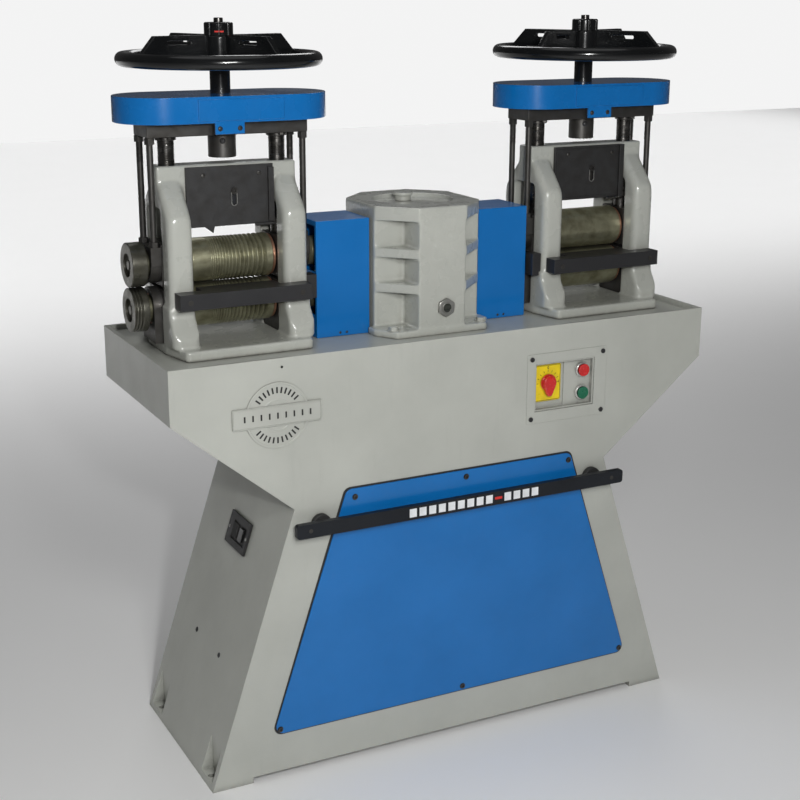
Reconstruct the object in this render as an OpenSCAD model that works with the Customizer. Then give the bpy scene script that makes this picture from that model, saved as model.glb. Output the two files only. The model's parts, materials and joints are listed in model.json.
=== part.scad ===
// Double-head rolling mill for sheet and wire: a T-shaped floor stand carries a gearbox
// tower and two roll heads, each screwed down by a handwheel.
// Millimetres. X runs along the machine, Y to the back, Z up, and the origin is on the
// floor under the middle of the stand.

/* [Stand] */
// Length of the trough at the top
stand_len = 1174; // [1140:2:1440]
// Depth of the stand, front to back
stand_depth = 400; // [330:2:480]
// Height of the trough's rim above the floor
stand_top = 850; // [780:5:1040]
// Height of the upright ends of the trough
end_h = 104; // [80:2:130]
// Width of the stand at its neck
neck_w = 702; // [600:2:800]
// Height of the neck above the floor
neck_z = 553; // [480:1:590]
// Width of the stand at the floor
foot_w = 1064; // [900:2:1200]
// Length of each foot, measured in from the end
foot_len = 84; // [60:2:120]
// Height of the opening between the feet
toe_h = 12; // [8:1:25]
// Depth of the tray that is sunk in the top
tray_deep = 10; // [6:1:16]
// Width of the rim round the tray
rim_w = 9; // [6:1:16]

/* [Anchor pockets] */
// Width of an anchor pocket
pocket_w = 60; // [40:2:80]
// Height of an anchor pocket
pocket_h = 74; // [50:2:90]
// Distance from a pocket to the front or back face
pocket_inset = 15; // [12:1:40]
// Distance between the anchor holes along the machine
anchor_span = 1036; // [1020:1:1044]
// Diameter of an anchor bolt's hole
anchor_hole_d = 14; // [10:1:18]

/* [Front panel] */
// Height of the panel's lower edge
panel_low = 95; // [60:5:140]
// How far the panel reaches above the neck
panel_rise = 24; // [0:1:30]
// Width of the panel along its upper edge
panel_top_w = 508; // [420:2:560]
// Width of the panel along its lower edge
panel_low_w = 830; // [700:2:850]
// Thickness of the panel sheet
panel_t = 3; // [2:0.5:5]
// How far the gasket shows round the panel
gasket_edge = 3; // [2:0.5:6]

/* [Push bar] */
// Height of the push bar
bar_h = 28; // [20:1:40]
// Thickness of the push bar
bar_t = 12; // [8:1:16]
// Distance from the neck down to the middle of the push bar
bar_drop = 35; // [25:1:60]
// Distance from the neck's corner in to a standoff
bar_post_inset = 43; // [30:1:80]
// How far the push bar reaches past its standoffs
bar_over = 61; // [30:1:80]
// Travel of the push bar
bar_travel = 6; // [4:1:8]

/* [Controls] */
// Distance from the trough's rim down to the middle of the switch group
control_drop = 126; // [118:1:140]
// Distance from the middle of the stand to the switch group
control_x = 247; // [200:1:300]
// Width of the switch recess
control_w = 142; // [136:2:170]
// Height of the switch recess
control_h = 100; // [94:2:110]
// Diameter of a push button's collar
button_d = 30; // [24:0.5:34]

/* [Badge] */
// Diameter of the blank badge
badge_d = 126; // [80:2:140]
// Distance from the stand's end to the middle of the badge
badge_inset = 205; // [160:1:240]
// Distance from the trough's rim down to the middle of the badge
badge_drop = 107; // [90:1:120]

/* [Gearbox tower] */
// Width of the tower along the machine
tower_w = 234; // [200:2:250]
// Depth of the tower
tower_depth = 262; // [230:2:300]
// Height of the tower above the tray
tower_h = 252; // [240:2:320]
// Width of the tower's flat front
tower_face_w = 104; // [90:2:130]
// Thickness of the tower's ribs
rib_t = 18; // [10:1:22]
// Height of the lowest rib above the tray
rib_low = 84; // [70:1:90]
// Distance from one rib to the next
rib_pitch = 69; // [60:1:70]

/* [Coupling guards] */
// Depth of a coupling guard
guard_depth = 110; // [96:2:130]
// Height of a coupling guard above the tray
guard_h = 229; // [218:1:245]
// Thickness of the guard's sheet
guard_t = 3; // [2:0.5:5]

/* [Roll heads] */
// Distance from the stand's end to the middle of a head
head_inset = 187; // [180:1:200]
// Gap between a roll's face and the side frames
roll_side_gap = 7; // [6:0.5:12]
// Thickness of each side frame
frame_t = 48; // [40:1:60]
// Height of the housing above the tray
housing_h = 345; // [335:5:380]
// Depth of the housing's top block
block_depth = 50; // [44:2:60]
// Height of the housing's top block
block_h = 110; // [100:2:115]
// Depth of a housing between the fronts of its legs
leg_depth = 164; // [152:2:190]
// Depth of the housing's base plate
base_depth = 254; // [240:2:270]
// Thickness of the housing's base plate
base_t = 20; // [14:1:28]
// Width of the window that the chocks slide in
window_w = 78; // [64:1:96]

/* [Rolls] */
// Height of the pass line above the tray
pass_h = 123; // [118:1:130]
// Diameter of a roll
roll_d = 83; // [69:0.5:90]
// Length of a roll's working face
roll_face = 164; // [136:1:176]
// Gap between the rolls at rest
roll_gap = 1.5; // [1.1:0.1:4]
// Diameter of a roll's neck
neck_d = 50; // [41:1:52]
// Radial clearance between a neck and its bush
neck_clear = 0.05; // [0.02:0.01:0.1]
// Wall of a bearing bush
bush_wall = 5; // [4:0.5:6]
// Number of wire grooves in a grooved roll
groove_count = 17; // [9:1:18]
// Width of the smallest groove
groove_min = 1.6; // [1:0.1:3]
// Width of the largest groove
groove_max = 9; // [6:0.1:9.5]
// Width of a side disc for ring stock
disc_w = 29; // [20:1:34]

/* [Feed table] */
// Thickness of the feed table
table_t = 30; // [20:1:34]
// Depth of the feed table's front bar
table_bar = 32; // [24:1:44]

/* [Screw-down] */
// Distance from a frame's outer side in to its pressure screw
screw_inset = 28; // [22:1:30]
// Diameter of a pressure screw
screw_d = 30; // [24:1:36]
// Gap between the housing and the crosshead at rest
crosshead_gap = 53; // [50:1:80]
// How far the crosshead reaches past the hanger rods
crosshead_over = 7; // [5:1:20]
// Depth of the crosshead
crosshead_depth = 80; // [76:2:100]
// Thickness of the crosshead
crosshead_t = 26; // [18:1:34]
// Diameter of a hanger rod
rod_d = 12; // [8:1:14]
// Distance from a frame's outer side out to a hanger rod
rod_out = 12; // [11.5:0.5:14]
// Distance from the screws' plane to a hanger rod
rod_y = 31; // [30:0.5:32]
// Length of the gear cover
cover_len = 406; // [380:2:440]
// Depth of the gear cover
cover_depth = 174; // [150:2:200]
// Height of the gear cover
cover_h = 47; // [36:1:60]

/* [Handwheel] */
// Diameter of the handwheel
wheel_d = 378; // [315:2:400]
// Diameter of the handwheel's rim section
wheel_rim_d = 26; // [20:1:32]
// Height of the rim's middle above the gear cover
wheel_rise = 62; // [50:1:90]
// Diameter of the wheel's shaft
shaft_d = 38; // [34:1:50]
// Height of the spokes' flat tops above the rim's middle
spoke_rise = 42; // [24:1:46]
// Number of spokes
spoke_count = 4; // [3:1:6]
// Thickness of a spoke
spoke_t = 12; // [8:1:16]
// How far the left wheel is turned at rest
left_wheel_turn = 17; // [0:1:89]
// How far the right wheel is turned at rest
right_wheel_turn = 25; // [0:1:89]

/* [Hidden] */
$fn = 64;
eps = 0.01;

GREY = [0.70, 0.71, 0.67];
BLUE = [0.06, 0.36, 0.66];
BLACK = [0.10, 0.10, 0.10];
DARK_STEEL = [0.24, 0.24, 0.23];
ROLL_STEEL = [0.55, 0.53, 0.42];
BRONZE = [0.72, 0.45, 0.25];

slip = 0.3;                       // gap between seated pieces of different bodies
front_y = -stand_depth / 2;
tray_z = stand_top - tray_deep;
pass_z = tray_z + pass_h;

// Rolls
roll_r = roll_d / 2;
neck_r = neck_d / 2;
axes_gap = roll_d + roll_gap;
lower_z = pass_z - axes_gap / 2;
upper_z = pass_z + axes_gap / 2;
bush_r = neck_r + bush_wall;
bush_seat = 0.02;                 // radial gap between a bush and its chock
flange_under = 2.5;               // how far a bush's flange stays inside the roll's face
bush_flange_r = roll_r - flange_under;
flange_gap = 1;                   // running gap on either side of a bush's flange
bush_out = 15;                    // how far a bush reaches past the side frame
neck_out = 17;                    // how far a neck reaches past it on the drive side

// Heads
head_x = stand_len / 2 - head_inset;
head_w = roll_face + 2 * (roll_side_gap + frame_t);
frame_in = head_w / 2 - frame_t;
frame_out = head_w / 2;
foot_step = 4;                    // how much wider the housing is below the table
base_top = tray_z + base_t;
housing_top = tray_z + housing_h;
window_head = 75;                 // metal left above the chocks' window
window_top = housing_h - window_head;
window_r = 12;
leg_y = leg_depth / 2;            // front of the legs
leg_r = 14;                       // rounding of the legs' edges
slope_top = 26;                   // distance from the housing's top to where its legs start
slope_rise = 62;                  // rise of a leg's slope

// Chocks
chock_clear = 0.5;                // gap between a chock and its window, each side
chock_y = window_w / 2 - chock_clear;
chock_gap = 6.5;                  // gap between the lower and the upper chocks at rest
chock_half = (axes_gap - chock_gap) / 2;
chock_top_h = 40;                 // height of an upper chock above its bore
plate_inset = 3;                  // how far an end plate stays inside the window's width
plate_y = window_w / 2 - plate_inset;
lower_plate_out = 18;             // how far a lower chock's end plate stands out
upper_plate_out = 21;
plate_over = 2;                   // how far a lower end plate rises above its block
plate_gap = 1.2;                  // running gap between end plates and side frames
boss_r = (bush_r + 2 * chock_half) / 3; // an upper chock's end boss, between bush and block edge
ear_rise = 10;                    // height of an upper chock's ears above its neck
ear_z = upper_z + neck_r + ear_rise;
ear_w = 9;

// Screw-down
screw_x = frame_out - screw_inset;
rod_x = frame_out + rod_out;
crosshead_len = 2 * (rod_x + crosshead_over);
crosshead_z = housing_top + crosshead_gap;
cover_z = crosshead_z + crosshead_t;
cover_top = cover_z + cover_h;
wheel_z = cover_top + wheel_rise;
boss_d = 52;
boss_h = 43;
boss_floor = 8;                   // floor of the crosshead's boss under the journal
journal_up = 20;                  // how far the journal reaches into the wheel's shaft
journal_d = 30;
journal_clear = 0.05;

// Gearbox tower and guards
tower_top = tray_z + tower_h;
tower_notch = (tower_w - tower_face_w) / 2;
port_deep = 12;                   // depth of the holes that the spindles run into
guard_gap = 5.5;                  // gap between a guard and the tower's side
guard_end = 27;                   // gap between a guard and the head's side frame
guard_in = tower_w / 2 + guard_gap;
guard_out = head_x - head_w / 2 - guard_end;

// ---------------------------------------------------------------- helpers

// A convex outline with round corners, listed anticlockwise.
module rounded_outline(points, r) {
    n = len(points);
    corner = function (i) let (
        p = points[i], a = points[(i + n - 1) % n] - p, b = points[(i + 1) % n] - p,
        u = a / norm(a), v = b / norm(b), half = acos(u * v) / 2,
        mid = (u + v) / norm(u + v))
        [p + u * r / tan(half), p + v * r / tan(half), p + mid * r / sin(half)];
    corners = [for (i = [0:n - 1]) corner(i)];
    polygon([for (c = corners) each [c[0], c[1]]]);
    for (c = corners) translate(c[2]) circle(r);
}

// An outline in X and Z, pushed back along Y from the face y.
module front_extrude(y, depth) {
    translate([0, y + depth, 0]) rotate([90, 0, 0]) linear_extrude(depth) children();
}

// An outline in Y and Z, pushed along X from the face x.
module side_extrude(x, width) {
    translate([x, 0, 0]) rotate([90, 0, 90]) linear_extrude(width) children();
}

module box(low, high) {
    translate(low) cube(high - low);
}

module rod_x_axis(x0, x1, r, y = 0, z = 0) {
    translate([x0, y, z]) rotate([0, 90, 0]) cylinder(h = x1 - x0, r = r);
}

module rod_y_axis(y0, y1, r, x = 0, z = 0) {
    translate([x, y0, z]) rotate([-90, 0, 0]) cylinder(h = y1 - y0, r = r);
}

// Something that is the same at +X and -X.
module both_ends() {
    for (s = [0, 1]) mirror([s, 0, 0]) children();
}

// Something that is the same at the front and at the back.
module front_and_back() {
    for (t = [0, 1]) mirror([0, t, 0]) children();
}

module at_head(s) {
    translate([s == "left" ? -head_x : head_x, 0, 0]) children();
}

// ---------------------------------------------------------------- stand

module stand_outline() {
    polygon([
        [-foot_w / 2, 0], [foot_w / 2, 0], [neck_w / 2, neck_z],
        [stand_len / 2, stand_top - end_h], [stand_len / 2, stand_top],
        [-stand_len / 2, stand_top], [-stand_len / 2, stand_top - end_h],
        [-neck_w / 2, neck_z]
    ]);
}

function leg_x(z) = foot_w / 2 - (foot_w - neck_w) / 2 * z / neck_z;

// A pocket in a foot's side with a hole in its floor for an anchor bolt.
module anchor_pocket() {
    wall_x = anchor_span / 2 - anchor_hole_d;
    y1 = -front_y - pocket_inset;
    box([wall_x, y1 - pocket_w, toe_h], [foot_w, y1, toe_h + pocket_h]);
    translate([anchor_span / 2, y1 - pocket_w / 2, -1]) cylinder(h = toe_h + 2, d = anchor_hole_d);
}

inlet_z = 443;
inlet_w = 102;
inlet_h = 66;
inlet_lean = atan2((foot_w - neck_w) / 2, neck_z);

// Frame of the power inlet, on the left side's slope with +Z out of the sheet.
module on_left_slope(z) {
    translate([-leg_x(z), 0, z]) rotate([0, inlet_lean - 90, 0]) children();
}

module stand_body() {
    tray_x = stand_len / 2 - rim_w;
    tray_y = stand_depth / 2 - rim_w;
    color(GREY) difference() {
        front_extrude(front_y, stand_depth) stand_outline();
        box([-tray_x, -tray_y, tray_z], [tray_x, tray_y, stand_top + 1]);
        box([-foot_w / 2 + foot_len, front_y - 1, -1],
            [foot_w / 2 - foot_len, -front_y + 1, toe_h]);
        both_ends() front_and_back() anchor_pocket();
        box([control_x - control_w / 2, front_y - 1, control_z - control_h / 2],
            [control_x + control_w / 2, front_y + recess_deep, control_z + control_h / 2]);
    }
}

badge_t = 3;
badge_rim = 5;

module badge_disc() {
    color(GREY) rotate([90, 0, 0])
        translate([badge_inset - stand_len / 2, stand_top - badge_drop, -front_y]) difference() {
            cylinder(h = badge_t, d = badge_d);
            translate([0, 0, badge_t / 2]) cylinder(h = badge_t, d = badge_d - 2 * badge_rim);
        }
}

module power_inlet() {
    frame = 5;
    floor_t = 2;
    side = 14;                    // frame beside the socket
    low_end = 12;                 // frame in front of the socket
    high_end = 24;                // frame behind it, where the switch sits
    color(BLACK) on_left_slope(inlet_z) translate([0, 0, slip]) difference() {
        translate([-inlet_h / 2, -inlet_w / 2, 0]) cube([inlet_h, inlet_w, frame]);
        translate([-inlet_h / 2 + side, -inlet_w / 2 + low_end, floor_t])
            cube([inlet_h - 2 * side, inlet_w - low_end - high_end, frame]);
    }
}

// ---------------------------------------------------------------- front panel

panel_x = 10;
panel_r = 16;
panel_top_z = neck_z + panel_rise;

module panel_outline(grow) {
    top = panel_top_w / 2 + grow;
    low = panel_low_w / 2 + grow;
    translate([panel_x, 0]) rounded_outline([
        [-low, panel_low - grow], [low, panel_low - grow],
        [top, panel_top_z + grow], [-top, panel_top_z + grow]], panel_r);
}

gasket_t = 1.5;

module panel_gasket() {
    color(BLACK) front_extrude(front_y - gasket_t, gasket_t) panel_outline(gasket_edge);
}

module front_panel() {
    color(BLUE) front_extrude(front_y - gasket_t - panel_t, panel_t) panel_outline(0);
}

// ---------------------------------------------------------------- push bar

bar_x = 9;
bar_stand = 21;                   // distance from the stand's front to the bar's back
bar_z = neck_z - bar_drop;
bar_post_x = neck_w / 2 - bar_post_inset;
bar_len = 2 * (bar_post_x + bar_over);
bar_end_r = 6;
pin_d = 12;
pin_clear = 0.05;
post_d = 40;
post_t = 12;

module bar_standoffs() {
    color(BLACK) for (s = [-1, 1]) difference() {
        rod_y_axis(front_y - post_t, front_y, post_d / 2, bar_x + s * bar_post_x, bar_z);
        rod_y_axis(front_y - post_t - 1, front_y + 1, pin_d / 2 + pin_clear,
            bar_x + s * bar_post_x, bar_z);
    }
}

module emergency_bar() {
    bar_back = front_y - bar_stand;
    color(BLACK) {
        front_extrude(bar_back - bar_t, bar_t) translate([bar_x, bar_z]) rounded_outline([
            [-bar_len / 2, -bar_h / 2], [bar_len / 2, -bar_h / 2],
            [bar_len / 2, bar_h / 2], [-bar_len / 2, bar_h / 2]], bar_end_r);
        for (s = [-1, 1]) rod_y_axis(bar_back - eps, front_y - bar_travel - 0.5, pin_d / 2,
            bar_x + s * bar_post_x, bar_z);
    }
}

// ---------------------------------------------------------------- controls

recess_deep = 22;
box_t = 3;
box_back = 10;                    // thickness of the raised back that carries the switches
control_z = stand_top - control_drop;
isolator_w = 62;
isolator_h = 76;
isolator_x = control_x - control_w / 2 + 35;
isolator_z = control_z + 6;
button_x = control_x + 45;
stop_z = control_z + 25;
start_z = control_z - 23;
plunger_r = button_d / 2 - 4;
collar_t = 9;
button_travel = 4;
switch_face = front_y + recess_deep - slip - box_back;

// The switch box is sunk in the stand: a tray with a raised back for the two switches.
module control_plate() {
    x0 = control_x - control_w / 2 + slip;
    x1 = control_x + control_w / 2 - slip;
    z0 = control_z - control_h / 2 + slip;
    z1 = control_z + control_h / 2 - slip;
    back = front_y + recess_deep - slip;
    color(GREY) difference() {
        box([x0, front_y + 1, z0], [x1, back, z1]);
        box([x0 + box_t, front_y, z0 + box_t], [x1 - box_t, back - box_back, z1 - box_t]);
        for (z = [stop_z, start_z])
            rod_y_axis(switch_face - 1, switch_face + button_travel + 4, plunger_r + slip, button_x, z);
    }
}

plate_t = 4;
knob_d = 38;
knob_shaft_r = 8;

module isolator_plate() {
    color("gold") difference() {
        front_extrude(switch_face - plate_t, plate_t) translate([isolator_x, isolator_z])
            rounded_outline([
                [-isolator_w / 2, -isolator_h / 2], [isolator_w / 2, -isolator_h / 2],
                [isolator_w / 2, isolator_h / 2], [-isolator_w / 2, isolator_h / 2]], 4);
        rod_y_axis(switch_face - plate_t - 1, switch_face + 1, knob_shaft_r + pin_clear,
            isolator_x, isolator_z);
    }
}

module isolator_knob() {
    y = switch_face - plate_t;
    dial_t = 9;
    grip_w = 10;
    color("firebrick") {
        rod_y_axis(y - 1, y + plate_t - 1, knob_shaft_r, isolator_x, isolator_z);
        rod_y_axis(y - dial_t, y - slip, knob_d / 2, isolator_x, isolator_z);
        box([isolator_x - grip_w / 2, y - 22, isolator_z - 27],
            [isolator_x + grip_w / 2, y - dial_t + eps, isolator_z + 18]);
    }
}

module button_collars() {
    color(DARK_STEEL) for (z = [stop_z, start_z]) difference() {
        rod_y_axis(switch_face - collar_t, switch_face, button_d / 2, button_x, z);
        rod_y_axis(switch_face - collar_t - 1, switch_face + 1, plunger_r + slip, button_x, z);
    }
}

module push_button(z, proud) {
    rod_y_axis(switch_face - collar_t - proud, switch_face + 2, plunger_r, button_x, z);
}

module start_button() { color("seagreen") push_button(start_z, 5); }
module stop_button() { color("crimson") push_button(stop_z, 6); }

// ---------------------------------------------------------------- gearbox tower

// The tower's plan is an octagon. Between the ribs its four corners are cut back to a cross.
module octagon(w, d, cut_x, cut_y) {
    polygon([
        [-w / 2 + cut_x, -d / 2], [w / 2 - cut_x, -d / 2], [w / 2, -d / 2 + cut_y],
        [w / 2, d / 2 - cut_y], [w / 2 - cut_x, d / 2], [-w / 2 + cut_x, d / 2],
        [-w / 2, d / 2 - cut_y], [-w / 2, -d / 2 + cut_y]
    ]);
}

cap_t = 27;
flange_h = 14;
flange_over = 11;                 // how far the flange reaches past the tower's sides
cap_recess_r = 80;
cap_recess = 8;

module tower_cross() {
    square([tower_face_w, tower_depth], center = true);
    square([tower_w, tower_depth - 2 * tower_notch], center = true);
}

module tower_flange() {
    w = tower_w / 2 + flange_over;
    d = tower_depth / 2 + 2;
    cut_x = 28;
    cut_y = 46;
    rounded_outline([[-w, -d + cut_y], [-w + cut_x, -d], [w - cut_x, -d], [w, -d + cut_y],
        [w, d - cut_y], [w - cut_x, d], [-w + cut_x, d], [-w, d - cut_y]], 10);
}

module gearbox_tower() {
    port_y = 33;
    port_over = 7;                // how much taller a port is than it is wide, above its axis
    color(GREY) translate([0, 0, tray_z]) difference() {
        union() {
            linear_extrude(tower_h) tower_cross();
            translate([0, 0, tower_h - cap_t]) linear_extrude(cap_t)
                octagon(tower_w, tower_depth, tower_notch, tower_notch);
            for (k = [0, 1]) translate([0, 0, rib_low + k * rib_pitch]) linear_extrude(rib_t)
                octagon(tower_w, tower_depth, tower_notch, tower_notch);
            linear_extrude(flange_h) tower_flange();
        }
        translate([0, 0, tower_h - cap_recess]) cylinder(h = cap_recess + 1, r = cap_recess_r);
        both_ends() {
            for (z = [upper_z, lower_z]) box([tower_w / 2 - port_deep, -port_y, z - tray_z - port_y],
                [tower_w, port_y, z - tray_z + port_y + port_over]);
            box([tower_w / 2, -guard_depth / 2 - 3, -1], [tower_w, guard_depth / 2 + 3, flange_h + 1]);
        }
    }
}

module filler_plug() {
    neck_h = cap_recess + 3;
    color(GREY) translate([-4, 34, tower_top - cap_recess]) {
        cylinder(h = neck_h, r = 16);
        translate([0, 0, neck_h - eps]) cylinder(h = 6, r = 20);
    }
}

sight_x = 7;
sight_z = 54;
sight_af = 36;                    // across the hexagon's flats
sight_t = 8;
sight_r = 11;

module sight_glass() {
    color(DARK_STEEL) translate([sight_x, -tower_depth / 2, tray_z + sight_z]) rotate([90, 0, 0])
        difference() {
            cylinder(h = sight_t, d = sight_af / cos(30), $fn = 6);
            translate([0, 0, sight_t / 2]) cylinder(h = sight_t, r = sight_r);
        }
}

// ---------------------------------------------------------------- coupling guards

strip_h = 8;                      // the strip between a guard's two end windows
window_side = 8;                  // the sheet left beside a guard's end windows
window_over = 10;                 // and above the upper one
window_drop = 36;                 // depth of the lower window below the lower roll's axis

module guard() {
    y = guard_depth / 2;
    top = tray_z + guard_h;
    window_y = y - window_side;
    color(BLUE) difference() {
        box([guard_in, -y, tray_z], [guard_out, y, top]);
        box([guard_in - 1, -y + guard_t, tray_z - 1],
            [guard_out - guard_t, y - guard_t, top - guard_t]);
        box([guard_out - guard_t - 1, -window_y, pass_z + strip_h - 1],
            [guard_out + 1, window_y, top - window_over]);
        box([guard_out - guard_t - 1, -window_y, lower_z - window_drop],
            [guard_out + 1, window_y, pass_z - 1]);
    }
}

module guard_left() { mirror([1, 0, 0]) guard(); }
module guard_right() { guard(); }

// Blocks on the drive side of each housing that the guards' ends are held by.
module guard_brackets() {
    bracket_w = 20;
    bracket_h = 38;
    side_x = head_x - frame_out;
    y0 = -leg_y + 9;
    y1 = -guard_depth / 2 + window_side + 1;
    z0 = pass_z - table_t;
    color(BLACK) both_ends() {
        box([side_x - bracket_w, y0, z0], [side_x, y1, z0 + bracket_h]);
        box([side_x - bracket_w, y0, z0 - 8], [side_x - foot_step, y1, z0 + eps]);
    }
}

// ---------------------------------------------------------------- housings

table_low = pass_h - table_t;      // height of the feed table's underside above the tray

toe_inset = 22;                    // distance from the base plate's edge to a foot's toe
toe_rise = 16;                     // height of the toe above the base plate
flare_rise = 58;                   // height at which the flare meets the leg

// A frame's foot flares out below the feed table, where the frame is foot_step wider.
module foot() {
    toe_y = base_depth / 2 - toe_inset;
    w = frame_t + foot_step;
    edge = [[toe_y, base_t - 1], [toe_y, base_t + toe_rise], [leg_y, base_t + flare_rise],
        [leg_y, table_low]];
    intersection() {
        side_extrude(frame_in, w) polygon(concat([for (p = edge) [-p[0], p[1]]],
            [for (i = [3:-1:0]) edge[i]]));
        linear_extrude(table_low) translate([frame_in, 0]) leg_plan(w, toe_y);
    }
}

// Above the table a leg is an upright prism with round edges, and one more at the front and
// at the rear slopes it back to the face of the top block.
module leg() {
    z0 = table_low - 1;
    intersection() {
        translate([frame_in, 0, z0]) linear_extrude(housing_h - slope_top - z0)
            leg_plan(frame_t, leg_y);
        leg_slope();
        mirror([0, 1, 0]) leg_slope();
    }
}

module leg_slope() {
    long = 2 * housing_h;
    lean = atan2(leg_y - block_depth / 2, slope_rise);
    translate([frame_in, -block_depth / 2, housing_h - slope_top]) rotate([-lean, 0, 0])
        translate([0, 0, -long / 2]) linear_extrude(long)
            rounded_outline([[0, 0], [frame_t, 0], [frame_t, long], [0, long]], leg_r);
}

module leg_plan(w, y) {
    rounded_outline([[0, -y], [w, -y], [w, y], [0, y]], leg_r);
}

module chock_window() {
    r = window_r;
    translate([-window_w / 2, base_t]) square([window_w, window_top - base_t - r]);
    translate([-window_w / 2 + r, base_t]) square([window_w - 2 * r, window_top - base_t]);
    for (s = [-1, 1]) translate([s * (window_w / 2 - r), window_top - r]) circle(r);
}

module base_outline() {
    w = frame_out + foot_step;
    d = base_depth / 2;
    taper_x = 16;
    taper_y = 74;
    rounded_outline([[-w + taper_x, -d], [w - taper_x, -d], [w, -d + taper_y], [w, d - taper_y],
        [w - taper_x, d], [-w + taper_x, d], [-w, d - taper_y], [-w, -d + taper_y]], 9);
}

module housing() {
    color(GREY) translate([0, 0, tray_z]) difference() {
        union() {
            linear_extrude(base_t) base_outline();
            both_ends() difference() {
                union() {
                    foot();
                    leg();
                    box([frame_in, -block_depth / 2, housing_h - slope_top - slope_rise],
                        [frame_out, block_depth / 2, housing_h]);
                }
                side_extrude(frame_in - 1, frame_t + foot_step + 2) chock_window();
            }
            box([-frame_in - 1, -block_depth / 2, housing_h - block_h],
                [frame_in + 1, block_depth / 2, housing_h]);
        }
        for (s = [-1, 1]) translate([s * screw_x, 0, window_top - 20])
            cylinder(h = housing_h, d = screw_d + 2 * slip);
    }
}

module housing_left() { at_head("left") housing(); }
module housing_right() { at_head("right") housing(); }

// The steel plate on the front of the top block, with a slotted bolt hole, a pointed tab
// and a pin under it.
module front_plate() {
    face = -block_depth / 2;
    sheet_t = 6;
    x0 = -frame_in + 6;
    x1 = frame_in - 1;
    z0 = housing_top - 115;
    z1 = housing_top - 4;
    slot_x = 10;
    slot_z = housing_top - 51;
    slot_w = 9;
    color(DARK_STEEL) difference() {
        union() {
            front_extrude(face - sheet_t, sheet_t) polygon([
                [x0, z0], [x0 + 34, z0], [x0 + 50, z0 - 12], [x0 + 53, z0], [x1, z0],
                [x1, z1], [x0, z1]]);
            box([x1 - 11, face - sheet_t - 5, z0 + 4], [x1, face - sheet_t + eps, z1 - 6]);
            rod_x_axis(x1 - 38, x1 - eps, 3, face - sheet_t - 2, z0 - 1);
        }
        for (z = [slot_z, slot_z - 22]) rod_y_axis(face - sheet_t - 1, face + 1,
            slot_w / 2, slot_x, z);
        box([slot_x - slot_w / 2, face - sheet_t - 1, slot_z - 22],
            [slot_x + slot_w / 2, face + 1, slot_z]);
    }
}

module front_plate_left() { at_head("left") front_plate(); }
module front_plate_right() { at_head("right") front_plate(); }

// ---------------------------------------------------------------- feed tables

// A bar across the legs with a tongue that runs in between them to the rolls.
module feed_table() {
    table_x = frame_out - 7;
    tongue_x = frame_in - 11;
    nip_y = roll_r + 7;           // where the tongue ends in front of the rolls
    nip_cut = 4;                  // how far the tongue's end leans back underneath
    color(BLACK) {
        box([-table_x, -leg_y - table_bar, pass_z - table_t], [table_x, -leg_y, pass_z]);
        side_extrude(-tongue_x, 2 * tongue_x) polygon([
            [-leg_y - eps, pass_z - table_t], [-leg_y - eps, pass_z],
            [-nip_y, pass_z], [-nip_y - nip_cut, pass_z - table_t]]);
    }
}

module feed_table_left() { at_head("left") feed_table(); }
module feed_table_right() { at_head("right") feed_table(); }

// ---------------------------------------------------------------- chocks and bushes

// A chock is a block that fills the housing's window, with an end plate outside it.
module chock_bore(z) {
    rod_x_axis(0, head_w, bush_r + bush_seat, 0, z);
}

module lower_chock() {
    shoulder = chock_half + plate_over - plate_y;
    difference() {
        union() {
            box([frame_in + 1, -chock_y, base_top], [frame_out + eps, chock_y, lower_z + chock_half]);
            box([frame_out, -plate_y, base_top],
                [frame_out + lower_plate_out, plate_y, lower_z + shoulder]);
            rod_x_axis(frame_out, frame_out + lower_plate_out, plate_y, 0, lower_z + shoulder);
        }
        chock_bore(lower_z);
    }
}

module upper_chock() {
    x0 = frame_out + plate_gap;
    x1 = frame_out + upper_plate_out;
    difference() {
        union() {
            box([frame_in + 1, -chock_y, upper_z - chock_half],
                [x0 + eps, chock_y, upper_z + chock_top_h]);
            rod_x_axis(x0, x1, boss_r, 0, upper_z);
            box([x0, -rod_y - ear_w, upper_z], [x1, rod_y + ear_w, ear_z]);
        }
        chock_bore(upper_z);
    }
}

// A bush has a flange between the roll's face and the side frame.
module bush(z) {
    difference() {
        union() {
            rod_x_axis(roll_face / 2 + flange_gap, frame_out + bush_out, bush_r, 0, z);
            rod_x_axis(roll_face / 2 + flange_gap, frame_in - flange_gap, bush_flange_r, 0, z);
        }
        rod_x_axis(0, head_w, neck_r + neck_clear, 0, z);
    }
}

module lower_chocks() { color(DARK_STEEL) both_ends() lower_chock(); }
module upper_chocks() { color(DARK_STEEL) both_ends() upper_chock(); }
module lower_bushes() { color(BRONZE) both_ends() bush(lower_z); }
module upper_bushes() { color(BRONZE) both_ends() bush(upper_z); }

module lower_chocks_left() { at_head("left") lower_chocks(); }
module lower_chocks_right() { at_head("right") lower_chocks(); }
module upper_chocks_left() { at_head("left") upper_chocks(); }
module upper_chocks_right() { at_head("right") upper_chocks(); }
module lower_bushes_left() { at_head("left") lower_bushes(); }
module lower_bushes_right() { at_head("right") lower_bushes(); }
module upper_bushes_left() { at_head("left") upper_bushes(); }
module upper_bushes_right() { at_head("right") upper_bushes(); }

// ---------------------------------------------------------------- rolls

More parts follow.
